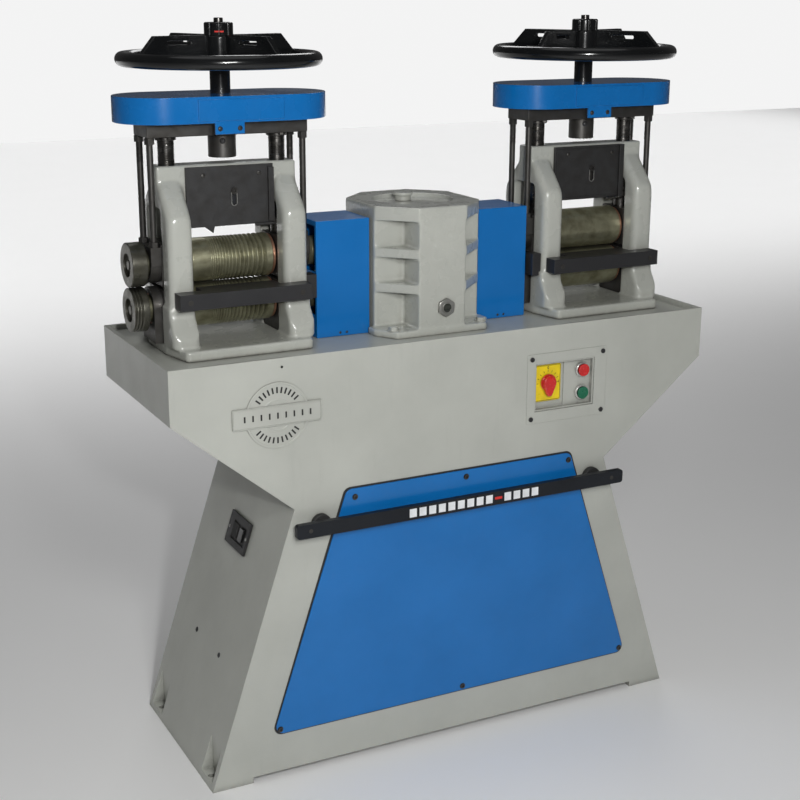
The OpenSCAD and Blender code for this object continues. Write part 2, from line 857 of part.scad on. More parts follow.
// Wire grooves grow from groove_min to groove_max along the roll, a land between each two.
groove_land = 1.5;
groove_inset = 11.9;              // plain strip between the largest groove and the drive end
groove_span = groove_count * (groove_min + groove_max) / 2 + (groove_count - 1) * groove_land;
groove_start = roll_face / 2 - groove_inset - groove_span;
end_groove = 4;                   // distance from the free end to a thin turned line
function groove_width(i) = groove_min + (groove_max - groove_min) * i / (groove_count - 1);
function groove_x(i) = i == 0 ? groove_start : groove_x(i - 1) + groove_width(i - 1) + groove_land;
function v_groove(x, w) = [[roll_r, x], [roll_r - w / 2, x + w / 2], [roll_r, x + w]];
function grooved_edge() = [
    for (p = v_groove(-roll_face / 2 + end_groove, 1)) p,
    for (i = [0:groove_count - 1]) each v_groove(groove_x(i), groove_width(i))
];

// A barrel with its two necks and a coupling on the drive side, which is +X here.
drive_d = 38;
sleeve_d = 56;
sleeve_len = 54;
free_end = frame_out + upper_plate_out + 5.5;

module roll(grooved) {
    half = roll_face / 2;
    neck_x1 = frame_out + neck_out;
    sleeve_x0 = frame_out + upper_plate_out + 3;
    sleeve_x1 = sleeve_x0 + sleeve_len;
    spindle_x1 = head_x - tower_w / 2 + port_deep - 4;
    edge = grooved ? grooved_edge() : [];
    rotate([0, 90, 0]) rotate_extrude() polygon(concat(
        [[0, -free_end], [neck_r, -free_end], [neck_r, -half], [roll_r - 1, -half],
         [roll_r, -half + 1]], edge,
        [[roll_r, half - 1], [roll_r - 1, half], [neck_r, half], [neck_r, neck_x1],
         [drive_d / 2, neck_x1], [drive_d / 2, sleeve_x0], [sleeve_d / 2 - 8, sleeve_x0],
         [sleeve_d / 2, sleeve_x0 + 8], [sleeve_d / 2, sleeve_x1], [drive_d / 2, sleeve_x1],
         [drive_d / 2, spindle_x1], [0, spindle_x1]]));
}

module upper_roll_left() {
    color(ROLL_STEEL) at_head("left") translate([0, 0, upper_z]) roll(true);
}
module lower_roll_left() {
    color(ROLL_STEEL) at_head("left") translate([0, 0, lower_z]) roll(true);
}
module upper_roll_right() {
    color(ROLL_STEEL) at_head("right") translate([0, 0, upper_z]) mirror([1, 0, 0]) roll(false);
}
module lower_roll_right() {
    color(ROLL_STEEL) at_head("right") translate([0, 0, lower_z]) mirror([1, 0, 0]) roll(false);
}

// A steel disc on the free end of a roll, for rolling ring stock.
module side_disc(grooves) {
    x0 = free_end;
    x1 = x0 + disc_w;
    notch = 2.2;
    pitch = 6;
    dish_r = 22;
    hub_r = 9;
    ring = [for (i = [0:grooves - 1]) each v_groove(x0 + disc_w * 0.4 + pitch * i, 2 * notch)];
    rotate([0, -90, 0]) rotate_extrude() polygon(concat(
        [[0, x0], [roll_r - 1, x0], [roll_r, x0 + 1]], ring,
        [[roll_r, x1 - 1], [roll_r - 1, x1], [dish_r, x1], [dish_r, x1 - 6], [hub_r, x1 - 6],
         [hub_r, x1 - 2], [0, x1 - 2]]));
}

module upper_disc_left() {
    color(ROLL_STEEL) at_head("left") translate([0, 0, upper_z]) side_disc(0);
}
module lower_disc_left() {
    color(ROLL_STEEL) at_head("left") translate([0, 0, lower_z]) side_disc(3);
}

// ---------------------------------------------------------------- screw-down

module crosshead() {
    color(DARK_STEEL) difference() {
        union() {
            box([-crosshead_len / 2, -crosshead_depth / 2, crosshead_z],
                [crosshead_len / 2, crosshead_depth / 2, cover_z]);
            translate([0, 0, crosshead_z - boss_h]) cylinder(h = boss_h + 1, d = boss_d);
        }
        translate([0, 0, crosshead_z - boss_h + boss_floor])
            cylinder(h = boss_h + crosshead_t, d = journal_d + 2 * journal_clear);
    }
}

module stadium(len, wid, h) {
    for (s = [-1, 1]) translate([s * (len - wid) / 2, 0, 0]) cylinder(h = h, d = wid, $fn = 96);
    translate([-(len - wid) / 2, -wid / 2, 0]) cube([len - wid, wid, h]);
}

module gear_cover() {
    pad_w = 164;
    pad_h = 38;
    tab_w = 56;
    tab_h = 20;
    front = -cover_depth / 2;
    color(BLUE) difference() {
        union() {
            translate([0, 0, cover_z]) stadium(cover_len, cover_depth, cover_h);
            box([8 - pad_w / 2, front - 2, cover_z + 4], [8 + pad_w / 2, front + 1, cover_z + 4 + pad_h]);
            box([-15 - tab_w / 2, front, cover_z - tab_h], [-15 + tab_w / 2, front + 4, cover_z + 1]);
        }
        translate([0, 0, cover_z - 1]) cylinder(h = cover_h + 2, d = shaft_d + 2 * journal_clear);
    }
}

module pressure_screws() {
    seat_t = 8;
    chock_top = upper_z + chock_top_h;
    color(DARK_STEEL) for (s = [-1, 1]) translate([s * screw_x, 0, 0]) {
        translate([0, 0, chock_top]) cylinder(h = crosshead_z - chock_top, d = screw_d);
        translate([0, 0, crosshead_z - seat_t]) cylinder(h = seat_t, d = screw_d + 9);
    }
}

module hanger_rods() {
    nut_r = 9.5;
    nut_h = 9;
    long_nut_h = 12;
    color(DARK_STEEL) for (s = [-1, 1], t = [-1, 1]) translate([s * rod_x, t * rod_y, 0]) {
        translate([0, 0, ear_z]) cylinder(h = crosshead_z - ear_z, d = rod_d);
        translate([0, 0, ear_z]) cylinder(h = nut_h, r = nut_r, $fn = 6);
        translate([0, 0, crosshead_z - long_nut_h]) cylinder(h = long_nut_h, r = nut_r, $fn = 6);
    }
}

module crosshead_left() { at_head("left") crosshead(); }
module crosshead_right() { at_head("right") crosshead(); }
module gear_cover_left() { at_head("left") gear_cover(); }
module gear_cover_right() { at_head("right") gear_cover(); }
module pressure_screws_left() { at_head("left") pressure_screws(); }
module pressure_screws_right() { at_head("right") pressure_screws(); }
module hanger_rods_left() { at_head("left") hanger_rods(); }
module hanger_rods_right() { at_head("right") hanger_rods(); }

// ---------------------------------------------------------------- handwheels

rim_r = (wheel_d - wheel_rim_d) / 2;
hub_d = 60;
spoke_flat = rim_r - 33;          // how far out a spoke's top stays flat
spoke_web = 36;                   // height of a spoke's web at the hub
slot_in = 54;
slot_out = spoke_flat - 14;
slot_h = 8;
collar_d = 53;
collar_h = 22;
stud_h = 8;

// One spoke seen from the side: a flat-topped web with a slot, which slopes down to the rim.
module spoke_outline() {
    difference() {
        polygon([[0, spoke_rise - spoke_web], [0, spoke_rise], [spoke_flat, spoke_rise],
            [rim_r, 8], [rim_r, -6], [rim_r - 20, -2], [rim_r - 40, spoke_rise - spoke_web]]);
        translate([slot_in, spoke_rise - 17]) square([slot_out - slot_in, slot_h]);
    }
}

module handwheel(turn) {
    journal_z = crosshead_z - boss_h + boss_floor + 2;
    journal_lap = 2;
    color(BLACK) {
        translate([0, 0, wheel_z]) rotate([0, 0, turn]) {
            rotate_extrude($fn = 96) translate([rim_r, 0]) circle(d = wheel_rim_d);
            for (i = [0:spoke_count - 1]) rotate([0, 0, 360 / spoke_count * i])
                translate([0, spoke_t / 2, 0]) rotate([90, 0, 0]) linear_extrude(spoke_t)
                    spoke_outline();
            translate([0, 0, -12]) cylinder(h = spoke_rise + 10, d = hub_d);
            translate([0, 0, spoke_rise - 3]) fluted_collar();
        }
        translate([0, 0, cover_top - journal_up])
            cylinder(h = wheel_rise + journal_up, d = shaft_d);
        translate([0, 0, journal_z])
            cylinder(h = cover_top - journal_up + journal_lap - journal_z, d = journal_d);
    }
}

// The clamping collar on the hub, with flutes cut round it, and the stud through it.
module fluted_collar() {
    flutes = 10;
    flute_d = 7;
    difference() {
        cylinder(h = collar_h + 3, d = collar_d);
        for (i = [0:flutes - 1]) rotate([0, 0, 360 / flutes * (i + 0.5)])
            translate([collar_d / 2 + 1, 0, 6]) cylinder(h = collar_h, d = flute_d);
    }
    cylinder(h = collar_h + 6, d = collar_d - 18);
    cylinder(h = collar_h + 3 + stud_h, d = 17);
}

module handwheel_left() { at_head("left") handwheel(left_wheel_turn); }
module handwheel_right() { at_head("right") handwheel(right_wheel_turn); }

// ---------------------------------------------------------------- nodes

stand_body();
badge_disc();
power_inlet();
front_panel();
panel_gasket();
control_plate();
isolator_plate();
isolator_knob();
button_collars();
start_button();
stop_button();
bar_standoffs();
emergency_bar();
gearbox_tower();
filler_plug();
sight_glass();
guard_left();
guard_right();
guard_brackets();
housing_left();
front_plate_left();
feed_table_left();
lower_chocks_left();
lower_bushes_left();
crosshead_left();
gear_cover_left();
pressure_screws_left();
hanger_rods_left();
upper_chocks_left();
upper_bushes_left();
handwheel_left();
upper_roll_left();
lower_roll_left();
upper_disc_left();
lower_disc_left();
housing_right();
front_plate_right();
feed_table_right();
lower_chocks_right();
lower_bushes_right();
crosshead_right();
gear_cover_right();
pressure_screws_right();
hanger_rods_right();
upper_chocks_right();
upper_bushes_right();
handwheel_right();
upper_roll_right();
lower_roll_right();
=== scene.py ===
"""Looks of a double-head rolling mill for jewellery work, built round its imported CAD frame.

Each sub-assembly is a class: it holds its own sizes in metres, takes its places from the CAD
nodes, makes its meshes and dresses them. Finishes are small frozen classes that build one
procedural material each. Whatever repeats (screws, threads, spokes, marks) comes from
Geometry Nodes trees that are written here.
"""

from __future__ import annotations

import json
import logging
import math
from collections.abc import Callable, Sequence
from dataclasses import dataclass, field
from enum import Enum
from functools import cached_property

import bmesh
import bpy
from mathutils import Matrix, Vector

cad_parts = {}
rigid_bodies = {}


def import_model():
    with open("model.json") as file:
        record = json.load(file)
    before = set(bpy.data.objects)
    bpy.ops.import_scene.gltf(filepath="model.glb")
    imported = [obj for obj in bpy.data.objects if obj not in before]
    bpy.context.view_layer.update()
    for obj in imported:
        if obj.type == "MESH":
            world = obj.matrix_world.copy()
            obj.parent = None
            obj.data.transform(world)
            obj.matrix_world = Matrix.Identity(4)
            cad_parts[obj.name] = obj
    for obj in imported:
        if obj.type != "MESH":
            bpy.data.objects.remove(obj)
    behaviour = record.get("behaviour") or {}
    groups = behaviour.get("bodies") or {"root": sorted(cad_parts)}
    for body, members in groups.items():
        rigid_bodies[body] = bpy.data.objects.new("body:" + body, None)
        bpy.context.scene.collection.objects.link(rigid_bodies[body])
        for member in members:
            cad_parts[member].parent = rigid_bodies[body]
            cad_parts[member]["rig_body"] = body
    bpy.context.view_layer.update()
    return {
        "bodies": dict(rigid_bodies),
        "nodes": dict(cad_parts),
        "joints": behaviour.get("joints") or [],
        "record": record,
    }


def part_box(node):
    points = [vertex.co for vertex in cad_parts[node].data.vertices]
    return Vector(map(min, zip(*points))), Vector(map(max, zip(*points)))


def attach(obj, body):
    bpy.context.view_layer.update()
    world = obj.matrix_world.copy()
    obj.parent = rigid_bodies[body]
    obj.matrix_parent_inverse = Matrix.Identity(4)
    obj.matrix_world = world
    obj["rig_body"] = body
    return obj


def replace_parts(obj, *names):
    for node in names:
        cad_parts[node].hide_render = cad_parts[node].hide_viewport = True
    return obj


LOG = logging.getLogger("rolling_mill")
Colour = tuple[float, float, float]
Point = tuple[float, float, float]
Spot = tuple[float, float]
Outline = Sequence[Spot]
Seats = Sequence[tuple[Point, Point]]
FRONT: Point = (0.0, -1.0, 0.0)
UP: Point = (0.0, 0.0, 1.0)
DOWN: Point = (0.0, 0.0, -1.0)


class Side(Enum):
    """The two roll heads, by the end of the machine that they stand at."""

    LEFT = "left"
    RIGHT = "right"

    def node(self, stem: str) -> str:
        """The name of this head's own copy of a CAD node or body."""
        return f"{stem}_{self.value}"


class Head(Enum):
    """Kinds of screw head."""

    HEX = "hex"
    SLOTTED = "slotted"
    SOCKET = "socket"


class Axis(Enum):
    """The way that a turned piece's axis points."""

    X = "x"
    Y = "y"
    Z = "z"

    @property
    def matrix(self) -> Matrix:
        """Turns a piece made along +Z so that it lies along this axis."""
        return {
            Axis.X: Matrix.Rotation(math.pi / 2, 4, "Y"),
            Axis.Y: Matrix.Rotation(-math.pi / 2, 4, "X"),
            Axis.Z: Matrix.Identity(4),
        }[self]


# ------------------------------------------------------------------ node tree writers


class Nodes:
    """Writes one node tree with few words."""

    def __init__(self, tree: bpy.types.NodeTree) -> None:
        """Takes the tree.

        Args:
            tree: The shader or geometry tree to write in.
        """
        self.tree = tree

    def add(self, kind: str, inputs: dict | None = None, **props: object) -> bpy.types.Node:
        """Adds a node.

        Args:
            kind: The node's type name.
            inputs: Values or sockets for its inputs, by name or by number.
            props: Properties set before the inputs.

        Returns:
            The new node.
        """
        node = self.tree.nodes.new(kind)
        for name, value in props.items():
            setattr(node, name, value)
        for key, value in (inputs or {}).items():
            self.feed(node.inputs[key], value)
        return node

    def feed(self, socket: bpy.types.NodeSocket, value: object) -> None:
        """Links a socket or a node's first output to an input, or sets the input to a value.

        Args:
            socket: The input.
            value: What it gets.
        """
        if isinstance(value, bpy.types.Node):
            value = value.outputs[0]
        if isinstance(value, bpy.types.NodeSocket):
            self.tree.links.new(value, socket)
        else:
            socket.default_value = value

    def math(self, operation: str, *values: object) -> bpy.types.Node:
        """A Math node.

        Args:
            operation: What it does, such as MULTIPLY.
            values: Its operands, numbers or sockets.

        Returns:
            The node.
        """
        return self.add("ShaderNodeMath", dict(enumerate(values)), operation=operation)

    def scale(self, value: object, low: float, high: float, to_low: float, to_high: float) -> bpy.types.Node:
        """Maps a value from one range to another, held within the second.

        Args:
            value: The socket or node that is read.
            low: The value that gives to_low.
            high: The value that gives to_high.
            to_low: The result at low.
            to_high: The result at high.

        Returns:
            The Map Range node.
        """
        return self.add("ShaderNodeMapRange", {0: value, 1: low, 2: high, 3: to_low, 4: to_high})


def opaque(value: object) -> object:
    """A colour with full alpha; anything else as it is."""
    return (*value, 1.0) if isinstance(value, tuple) else value


class ShaderNodes(Nodes):
    """Writes one material."""

    FULL_EDGE = 0.90  # how well the plain and the rounded normal agree on a sharp edge
    NO_EDGE = 0.995  # and on a flat area

    def __init__(self, name: str) -> None:
        """Starts a material.

        Args:
            name: The material's name.
        """
        self.material = bpy.data.materials.new(name)
        self.material.use_nodes = True
        super().__init__(self.material.node_tree)
        self.shader = self.tree.nodes["Principled BSDF"]
        self.place = self.add("ShaderNodeTexCoord").outputs["Object"]

    def noise(self, size: float, detail: float = 3.0, stretch: Point = (1, 1, 1)) -> bpy.types.NodeSocket:
        """Noise with features of a real size.

        Args:
            size: About how far apart its features are, in metres.
            detail: How many finer layers it has.
            stretch: How much longer the features are along each axis.

        Returns:
            The noise's value, from 0 to 1.
        """
        across = tuple(1.0 / s for s in stretch)
        mapped = self.add("ShaderNodeMapping", {"Vector": self.place, "Scale": across})
        inputs = {"Vector": mapped, "Scale": 1.0 / size, "Detail": detail, "Roughness": 0.55}
        return self.add("ShaderNodeTexNoise", inputs).outputs["Fac"]

    def mix(self, share: object, first: object, second: object) -> bpy.types.NodeSocket:
        """Mixes two colours.

        Args:
            share: How much of the second shows.
            first: A colour or socket.
            second: A colour or socket.

        Returns:
            The mixed colour.
        """
        inputs = {0: share, 6: opaque(first), 7: opaque(second)}
        return self.add("ShaderNodeMix", inputs, data_type="RGBA").outputs[2]

    def crevices(self, reach: float) -> bpy.types.NodeSocket:
        """How deep in a corner a point lies: 1 in the open, towards 0 in corners.

        Args:
            reach: How far it looks, in metres.

        Returns:
            The share of open space.
        """
        return self.add("ShaderNodeAmbientOcclusion", {"Distance": reach}, samples=6).outputs["AO"]

    def rounded(self, radius: float) -> bpy.types.NodeSocket:
        """The surface's normal with its edges rounded over.

        Args:
            radius: The rounding, in metres.

        Returns:
            The normal.
        """
        return self.add("ShaderNodeBevel", {"Radius": radius}, samples=4).outputs["Normal"]

    def edges(self, soft: bpy.types.NodeSocket) -> bpy.types.Node:
        """Where the surface turns an edge: 0 on flat areas, up to 1 on an edge.

        Args:
            soft: The normal with its edges rounded over.

        Returns:
            The share of edge.
        """
        plain = self.add("ShaderNodeNewGeometry").outputs["Normal"]
        match = self.add("ShaderNodeVectorMath", {0: soft, 1: plain}, operation="DOT_PRODUCT")
        return self.scale(match.outputs["Value"], self.NO_EDGE, self.FULL_EDGE, 0, 1)

    def bump(self, height: object, depth: float, under: object = None) -> bpy.types.NodeSocket:
        """Turns a height into a bumped normal.

        Args:
            height: The height, from 0 to 1.
            depth: How deep the bumps are, in metres.
            under: A normal that it is laid over.

        Returns:
            The normal.
        """
        inputs = {"Height": height, "Distance": depth, "Strength": 1.0}
        if under is not None:
            inputs["Normal"] = under
        return self.add("ShaderNodeBump", inputs).outputs["Normal"]

    def set(self, **values: object) -> None:
        """Sets or links the shader's inputs.

        Args:
            values: Values or sockets, by the input's name with _ for spaces.
        """
        for name, value in values.items():
            key = " ".join(w.upper() if w == "ior" else w.capitalize() for w in name.split("_"))
            self.feed(self.shader.inputs[key], opaque(value))


# ------------------------------------------------------------------ finishes


@dataclass(frozen=True)
class Finish:
    """What every finish has: its name and the CAD material that it stands for, or "" for none."""

    name: str
    slot: str

    def build(self) -> bpy.types.Material:
        """Builds the material.

        Returns:
            The finished material.
        """
        raise NotImplementedError


@dataclass(frozen=True)
class Paint(Finish):
    """Machine enamel on sheet or on a casting, with a worked surface, dark run-down streaks, painted shade in
    corners and a painted highlight along rubbed edges.
    """

    colour: Colour
    rough: float = 0.32
    coat: float = 0.25
    peel: float = 0.00006
    lumps: float = 0.0
    # These set the painted highlight along rubbed edges, and the streaks with the painted shade in corners
    # and its colour.
    wear_and_edge_highlight: float = 0.35
    grime_and_shade: float = 0.45
    grime_and_shade_colour: Colour = (0.09, 0.075, 0.055)
    edge: float = 0.0015
    shine: float = 0.5

    def build(self) -> bpy.types.Material:
        """Builds the material.

        Returns:
            The finished material.
        """
        s = ShaderNodes(self.name)
        speck = s.noise(0.011, 6)
        faded = tuple(min(1.0, c * 1.05 + 0.004) for c in self.colour)
        deep = tuple(c * 0.93 for c in self.colour)
        colour = s.mix(s.scale(s.noise(0.16, 4), 0.3, 0.7, 0, 1), deep, faded)
        streak = s.scale(s.noise(0.02, 4, (1, 1, 9)), 0.60, 0.85, 0, 0.10 * self.grime_and_shade)
        colour = s.mix(streak, colour, self.grime_and_shade_colour)
        # Painted shade, partly dust: corners and recesses found by ambient occlusion are darkened, blotched
        # by noise, and made rougher.
        corner = s.scale(s.crevices(0.022), 0.30, 0.80, 1, 0)
        shade_and_dust = s.math("MULTIPLY", corner, s.scale(speck, 0.25, 0.7, 0.45, 1.0))
        colour = s.mix(s.math("MULTIPLY", shade_and_dust, self.grime_and_shade), colour, self.grime_and_shade_colour)
        soft = s.rounded(self.edge)
        # Painted highlight, partly rubbed paint: edges found by the rounded normal are lightened in broken
        # patches.
        patches = s.scale(s.noise(0.006, 4), 0.42, 0.66, 0.25 * self.wear_and_edge_highlight, self.wear_and_edge_highlight)
        worn_and_lit_edges = s.math("MULTIPLY", s.edges(soft), patches)
        colour = s.mix(worn_and_lit_edges, colour, tuple(min(1.0, c * 1.45 + 0.03) for c in self.colour))
        uneven = s.scale(s.noise(0.05, 4), 0.3, 0.7, self.rough - 0.05, self.rough + 0.07)
        rough = s.math("ADD", uneven, s.math("MULTIPLY", shade_and_dust, 0.35))
        normal = s.bump(s.noise(0.0035, 2), self.peel, soft)
        if self.lumps:
            normal = s.bump(s.noise(0.022, 3), self.lumps, normal)
        s.set(base_color=colour, roughness=rough, normal=normal, specular_ior_level=self.shine)
        s.set(coat_weight=self.coat, coat_roughness=0.07)
        return s.material


@dataclass(frozen=True)
class Steel(Finish):
    """Bare, oiled or blackened metal, with machining marks along one axis where it is turned, and painted
    shade in its corners.
    """

    colour: Colour
    stain: Colour
    rough: float = 0.3
    metallic: float = 1.0
    marks: Axis | None = None
    mark_depth: float = 0.00002
    stained: float = 0.5
    # How much painted shade lies in corners, which are also made rougher.
    grime_and_shade: float = 0.6

    def build(self) -> bpy.types.Material:
        """Builds the material.

        Returns:
            The finished material.
        """
        s = ShaderNodes(self.name)
        film = s.scale(s.noise(0.028, 5), 0.40, 0.66, 0, self.stained)
        colour = s.mix(film, self.colour, self.stain)
        # Painted shade: corners found by ambient occlusion are darkened towards a deep stain, and also made
        # rougher.
        corner = s.scale(s.crevices(0.012), 0.35, 0.85, self.grime_and_shade, 0)
        colour = s.mix(corner, colour, tuple(c * 0.12 for c in self.stain))
        rough = s.scale(s.noise(0.012, 4), 0.3, 0.7, self.rough - 0.07, self.rough + 0.09)
        fine = s.noise(0.0022, 3)
        if self.marks is not None:
            thin, long = 0.0009, 60.0
            stretch = tuple(1.0 if a is self.marks else long for a in Axis)
            fine = s.noise(thin, 3, stretch)
        rough = s.math("ADD", rough, s.math("MULTIPLY", corner, 0.3))
        normal = s.bump(fine, self.mark_depth)
        s.set(base_color=colour, metallic=self.metallic, roughness=rough, normal=normal)
        return s.material


@dataclass(frozen=True)
class Plastic(Finish):
    """Moulded plastic, rubber or printed ink, with painted shade in its corners."""

    colour: Colour
    rough: float = 0.35
    grain: float = 0.00002
    coat: float = 0.0

    def build(self) -> bpy.types.Material:
        """Builds the material.

        Returns:
            The finished material.
        """
        s = ShaderNodes(self.name)
        dull = tuple(c * 0.82 + 0.004 for c in self.colour)
        colour = s.mix(s.scale(s.noise(0.02, 4), 0.35, 0.7, 0, 1), self.colour, dull)
        # Painted shade: corners found by ambient occlusion are darkened.
        colour = s.mix(s.scale(s.crevices(0.006), 0.3, 0.8, 0.5, 0), colour, (0.03, 0.027, 0.022))
        rough = s.scale(s.noise(0.008, 4), 0.3, 0.7, self.rough - 0.05, self.rough + 0.08)
        normal = s.bump(s.noise(0.0009, 2), self.grain)
        s.set(base_color=colour, roughness=rough, normal=normal, coat_weight=self.coat)
        return s.material


@dataclass(frozen=True)
class OilGlass(Finish):
    """The glass of the oil gauge, with oil standing halfway up it."""

    level: float
    oil: Colour = (0.006, 0.010, 0.005)
    air: Colour = (0.030, 0.034, 0.028)

    def build(self) -> bpy.types.Material:
        """Builds the material.

        Returns:
            The finished material.
        """
        s = ShaderNodes(self.name)
        height = s.add("ShaderNodeSeparateXYZ", {0: s.place}).outputs["Z"]
        wave = s.math("MULTIPLY", s.noise(0.006, 2), 0.0008)
        above = s.scale(s.math("ADD", height, wave), self.level - 0.0003, self.level + 0.0003, 0, 1)
        colour = s.mix(above, self.oil, self.air)
        s.set(base_color=colour, roughness=0.08, coat_weight=1.0, coat_roughness=0.03)
        return s.material


@dataclass(frozen=True)
class Floor(Finish):
    """The pale studio floor."""

    colour: Colour

    def build(self) -> bpy.types.Material:
        """Builds the material.

        Returns:
            The finished material.
        """
        s = ShaderNodes(self.name)
        pale = tuple(min(1.0, c * 1.02) for c in self.colour)
        s.set(base_color=s.mix(s.noise(0.4, 3), self.colour, pale), roughness=0.6, specular_ior_level=0.2)
        return s.material


GREY_ENAMEL: Colour = (0.462, 0.472, 0.432)
BLUE_ENAMEL: Colour = (0.001, 0.150, 0.47)
BLUE_GRIME_AND_SHADE: Colour = (0.01, 0.03, 0.07)
RECIPES: tuple[Finish, ...] = (
    Paint(
        "sheet_enamel", "grey_paint", GREY_ENAMEL, 0.36,
        coat=0.15, grime_and_shade=0.75, grime_and_shade_colour=(0.055, 0.05, 0.04),
    ),
    Paint("cast_enamel", "grey_paint", GREY_ENAMEL, 0.26, coat=0.5, lumps=0.0005, wear_and_edge_highlight=0.5, grime_and_shade=0.6),
    Paint(
        "blue_enamel", "blue_paint", BLUE_ENAMEL, 0.34,
        coat=0.45, peel=0.00004, wear_and_edge_highlight=0.25, grime_and_shade=0.3, grime_and_shade_colour=BLUE_GRIME_AND_SHADE, shine=0.3,
    ),
    Paint(
        "blue_gloss", "blue_paint", BLUE_ENAMEL, 0.26,
        coat=0.9, peel=0.00003, wear_and_edge_highlight=0.2, grime_and_shade=0.3, grime_and_shade_colour=BLUE_GRIME_AND_SHADE, shine=0.3,
    ),
    Paint(
        "black_gloss", "black_paint", (0.004, 0.0045, 0.005), 0.17,
        coat=0.3, peel=0.00003, wear_and_edge_highlight=0.1, grime_and_shade=0.2, grime_and_shade_colour=(0.02, 0.018, 0.015),
        edge=0.001, shine=0.35,
    ),
    Paint(
        "black_satin", "black_paint", (0.020, 0.020, 0.022), 0.40,
        coat=0.1, peel=0.00005, wear_and_edge_highlight=0.5, grime_and_shade=0.35, grime_and_shade_colour=(0.05, 0.045, 0.04),
    ),
    Paint(
        "bar_black", "black_paint", (0.006, 0.008, 0.012), 0.42,
        coat=0.0, peel=0.00004, wear_and_edge_highlight=0.4, grime_and_shade=0.3, grime_and_shade_colour=(0.03, 0.028, 0.025), shine=0.35,
    ),
    Plastic("rubber", "rubber_seal", (0.022, 0.022, 0.022), 0.62, grain=0.00006),
    Plastic("black_plastic", "black_plastic", (0.02, 0.02, 0.021), 0.4),
    Plastic("yellow_plastic", "yellow_plastic", (0.88, 0.66, 0.01), 0.3, coat=0.2),
    Plastic("red_plastic", "red_plastic", (0.64, 0.020, 0.020), 0.24, coat=0.6),
    Plastic("green_plastic", "green_plastic", (0.008, 0.15, 0.075), 0.28, coat=0.3),
    Plastic("mark_white", "", (0.86, 0.88, 0.90), 0.45),
    Plastic("mark_red", "", (0.75, 0.03, 0.02), 0.45),
    Plastic("mark_black", "", (0.015, 0.015, 0.015), 0.5),
    # Nearly black: painted shade for the inside of a hole.
    Plastic("hole", "", (0.004, 0.004, 0.004), 0.8),
    Steel("bright_steel", "bright_steel", (0.62, 0.62, 0.60), (0.40, 0.38, 0.34), 0.26, stained=0.4),
    Steel(
        "collar_metal", "bright_steel", (0.68, 0.68, 0.66), (0.5, 0.48, 0.44), 0.20,
        metallic=0.5, stained=0.2,
    ),
    Steel(
        "dull_steel", "bright_steel", (0.36, 0.36, 0.34), (0.20, 0.20, 0.18), 0.36,
        metallic=0.7, stained=0.4,
    ),
    Steel(
        "dark_steel", "dark_steel", (0.085, 0.082, 0.078), (0.05, 0.045, 0.038), 0.40,
        metallic=0.75, mark_depth=0.00004,
    ),
    Steel("dark_turned", "dark_steel", (0.14, 0.135, 0.13), (0.06, 0.055, 0.045), 0.26, marks=Axis.Z),
    Steel(
        "plate_steel", "dark_steel", (0.046, 0.046, 0.047), (0.03, 0.028, 0.026), 0.46,
        metallic=0.45, mark_depth=0.00003, stained=0.6, grime_and_shade=0.4,
    ),
    Steel(
        "roll_steel", "roll_steel", (0.37, 0.36, 0.245), (0.15, 0.14, 0.08), 0.36,
        metallic=0.75, marks=Axis.X, stained=0.7, grime_and_shade=0.8,
    ),
    Steel(
        "disc_steel", "roll_steel", (0.12, 0.117, 0.098), (0.06, 0.057, 0.038), 0.34,
        metallic=0.8, marks=Axis.X, stained=0.6, grime_and_shade=0.8,
    ),
    Steel("bronze", "bronze", (0.55, 0.30, 0.20), (0.36, 0.17, 0.08), 0.36, metallic=0.8, marks=Axis.X),
)


class Finishes:
    """Every finish on the machine, each built once when it is first asked for."""

    def __init__(self) -> None:
        """Takes in the recipes, with nothing built yet."""
        self.recipes = {recipe.name: recipe for recipe in RECIPES}
        self._built: dict[str, bpy.types.Material] = {}

    def add(self, recipe: Finish) -> None:
        """Takes in one more recipe."""
        self.recipes[recipe.name] = recipe

    def __getitem__(self, name: str) -> bpy.types.Material:
        """A finish's material, built when it is first asked for.

        Args:
            name: The finish's name.

        Returns:
            Its material.
        """
        if name not in self._built:
            self._built[name] = self.recipes[name].build()
        return self._built[name]


# ------------------------------------------------------------------ mesh making

MERGE = 1e-6  # points nearer than this are one
CAD_MERGE = 1e-5  # the same for a CAD node, whose triangles come loose
FLAT_ANGLE = 0.4  # degrees within which a CAD node's triangles are one face
SHARP_ANGLE = 32.0  # degrees past which an edge counts as one
def add_piece(name: str, data: bpy.types.ID | None) -> bpy.types.Object:
    """Puts a mesh, a curve, a light or a camera in the scene.

    Args:
        name: The object's name.
        data: What it shows, already in place.

    Returns:
        The new object, at the origin.
    """
    piece = bpy.data.objects.new(name, data)
    bpy.context.scene.collection.objects.link(piece)
    return piece


def smooth(mesh: bpy.types.Mesh, angle: float = SHARP_ANGLE) -> None:
    """Shades a mesh smooth, with sharp edges where it turns by more than an angle.

    Args:
        mesh: The mesh.
        angle: The angle in degrees.
    """
    mesh.polygons.foreach_set("use_smooth", [True] * len(mesh.polygons))
    mesh.set_sharp_from_angle(angle=math.radians(angle))


def plain_mesh(thing: bpy.types.Object) -> bpy.types.Mesh:
    """The mesh that an object shows, with its modifiers applied or its curve filled."""
    graph = bpy.context.evaluated_depsgraph_get()
    graph.update()
    return bpy.data.meshes.new_from_object(thing.evaluated_get(graph), depsgraph=graph)


def freeze(piece: bpy.types.Object) -> bpy.types.Object:
    """Turns a piece and its modifiers into one plain mesh.

    Args:
        piece: The piece.

    Returns:
        The same piece, with no modifiers left.
    """
    mesh = plain_mesh(piece)
    piece.modifiers.clear()
    piece.data = mesh
    return piece


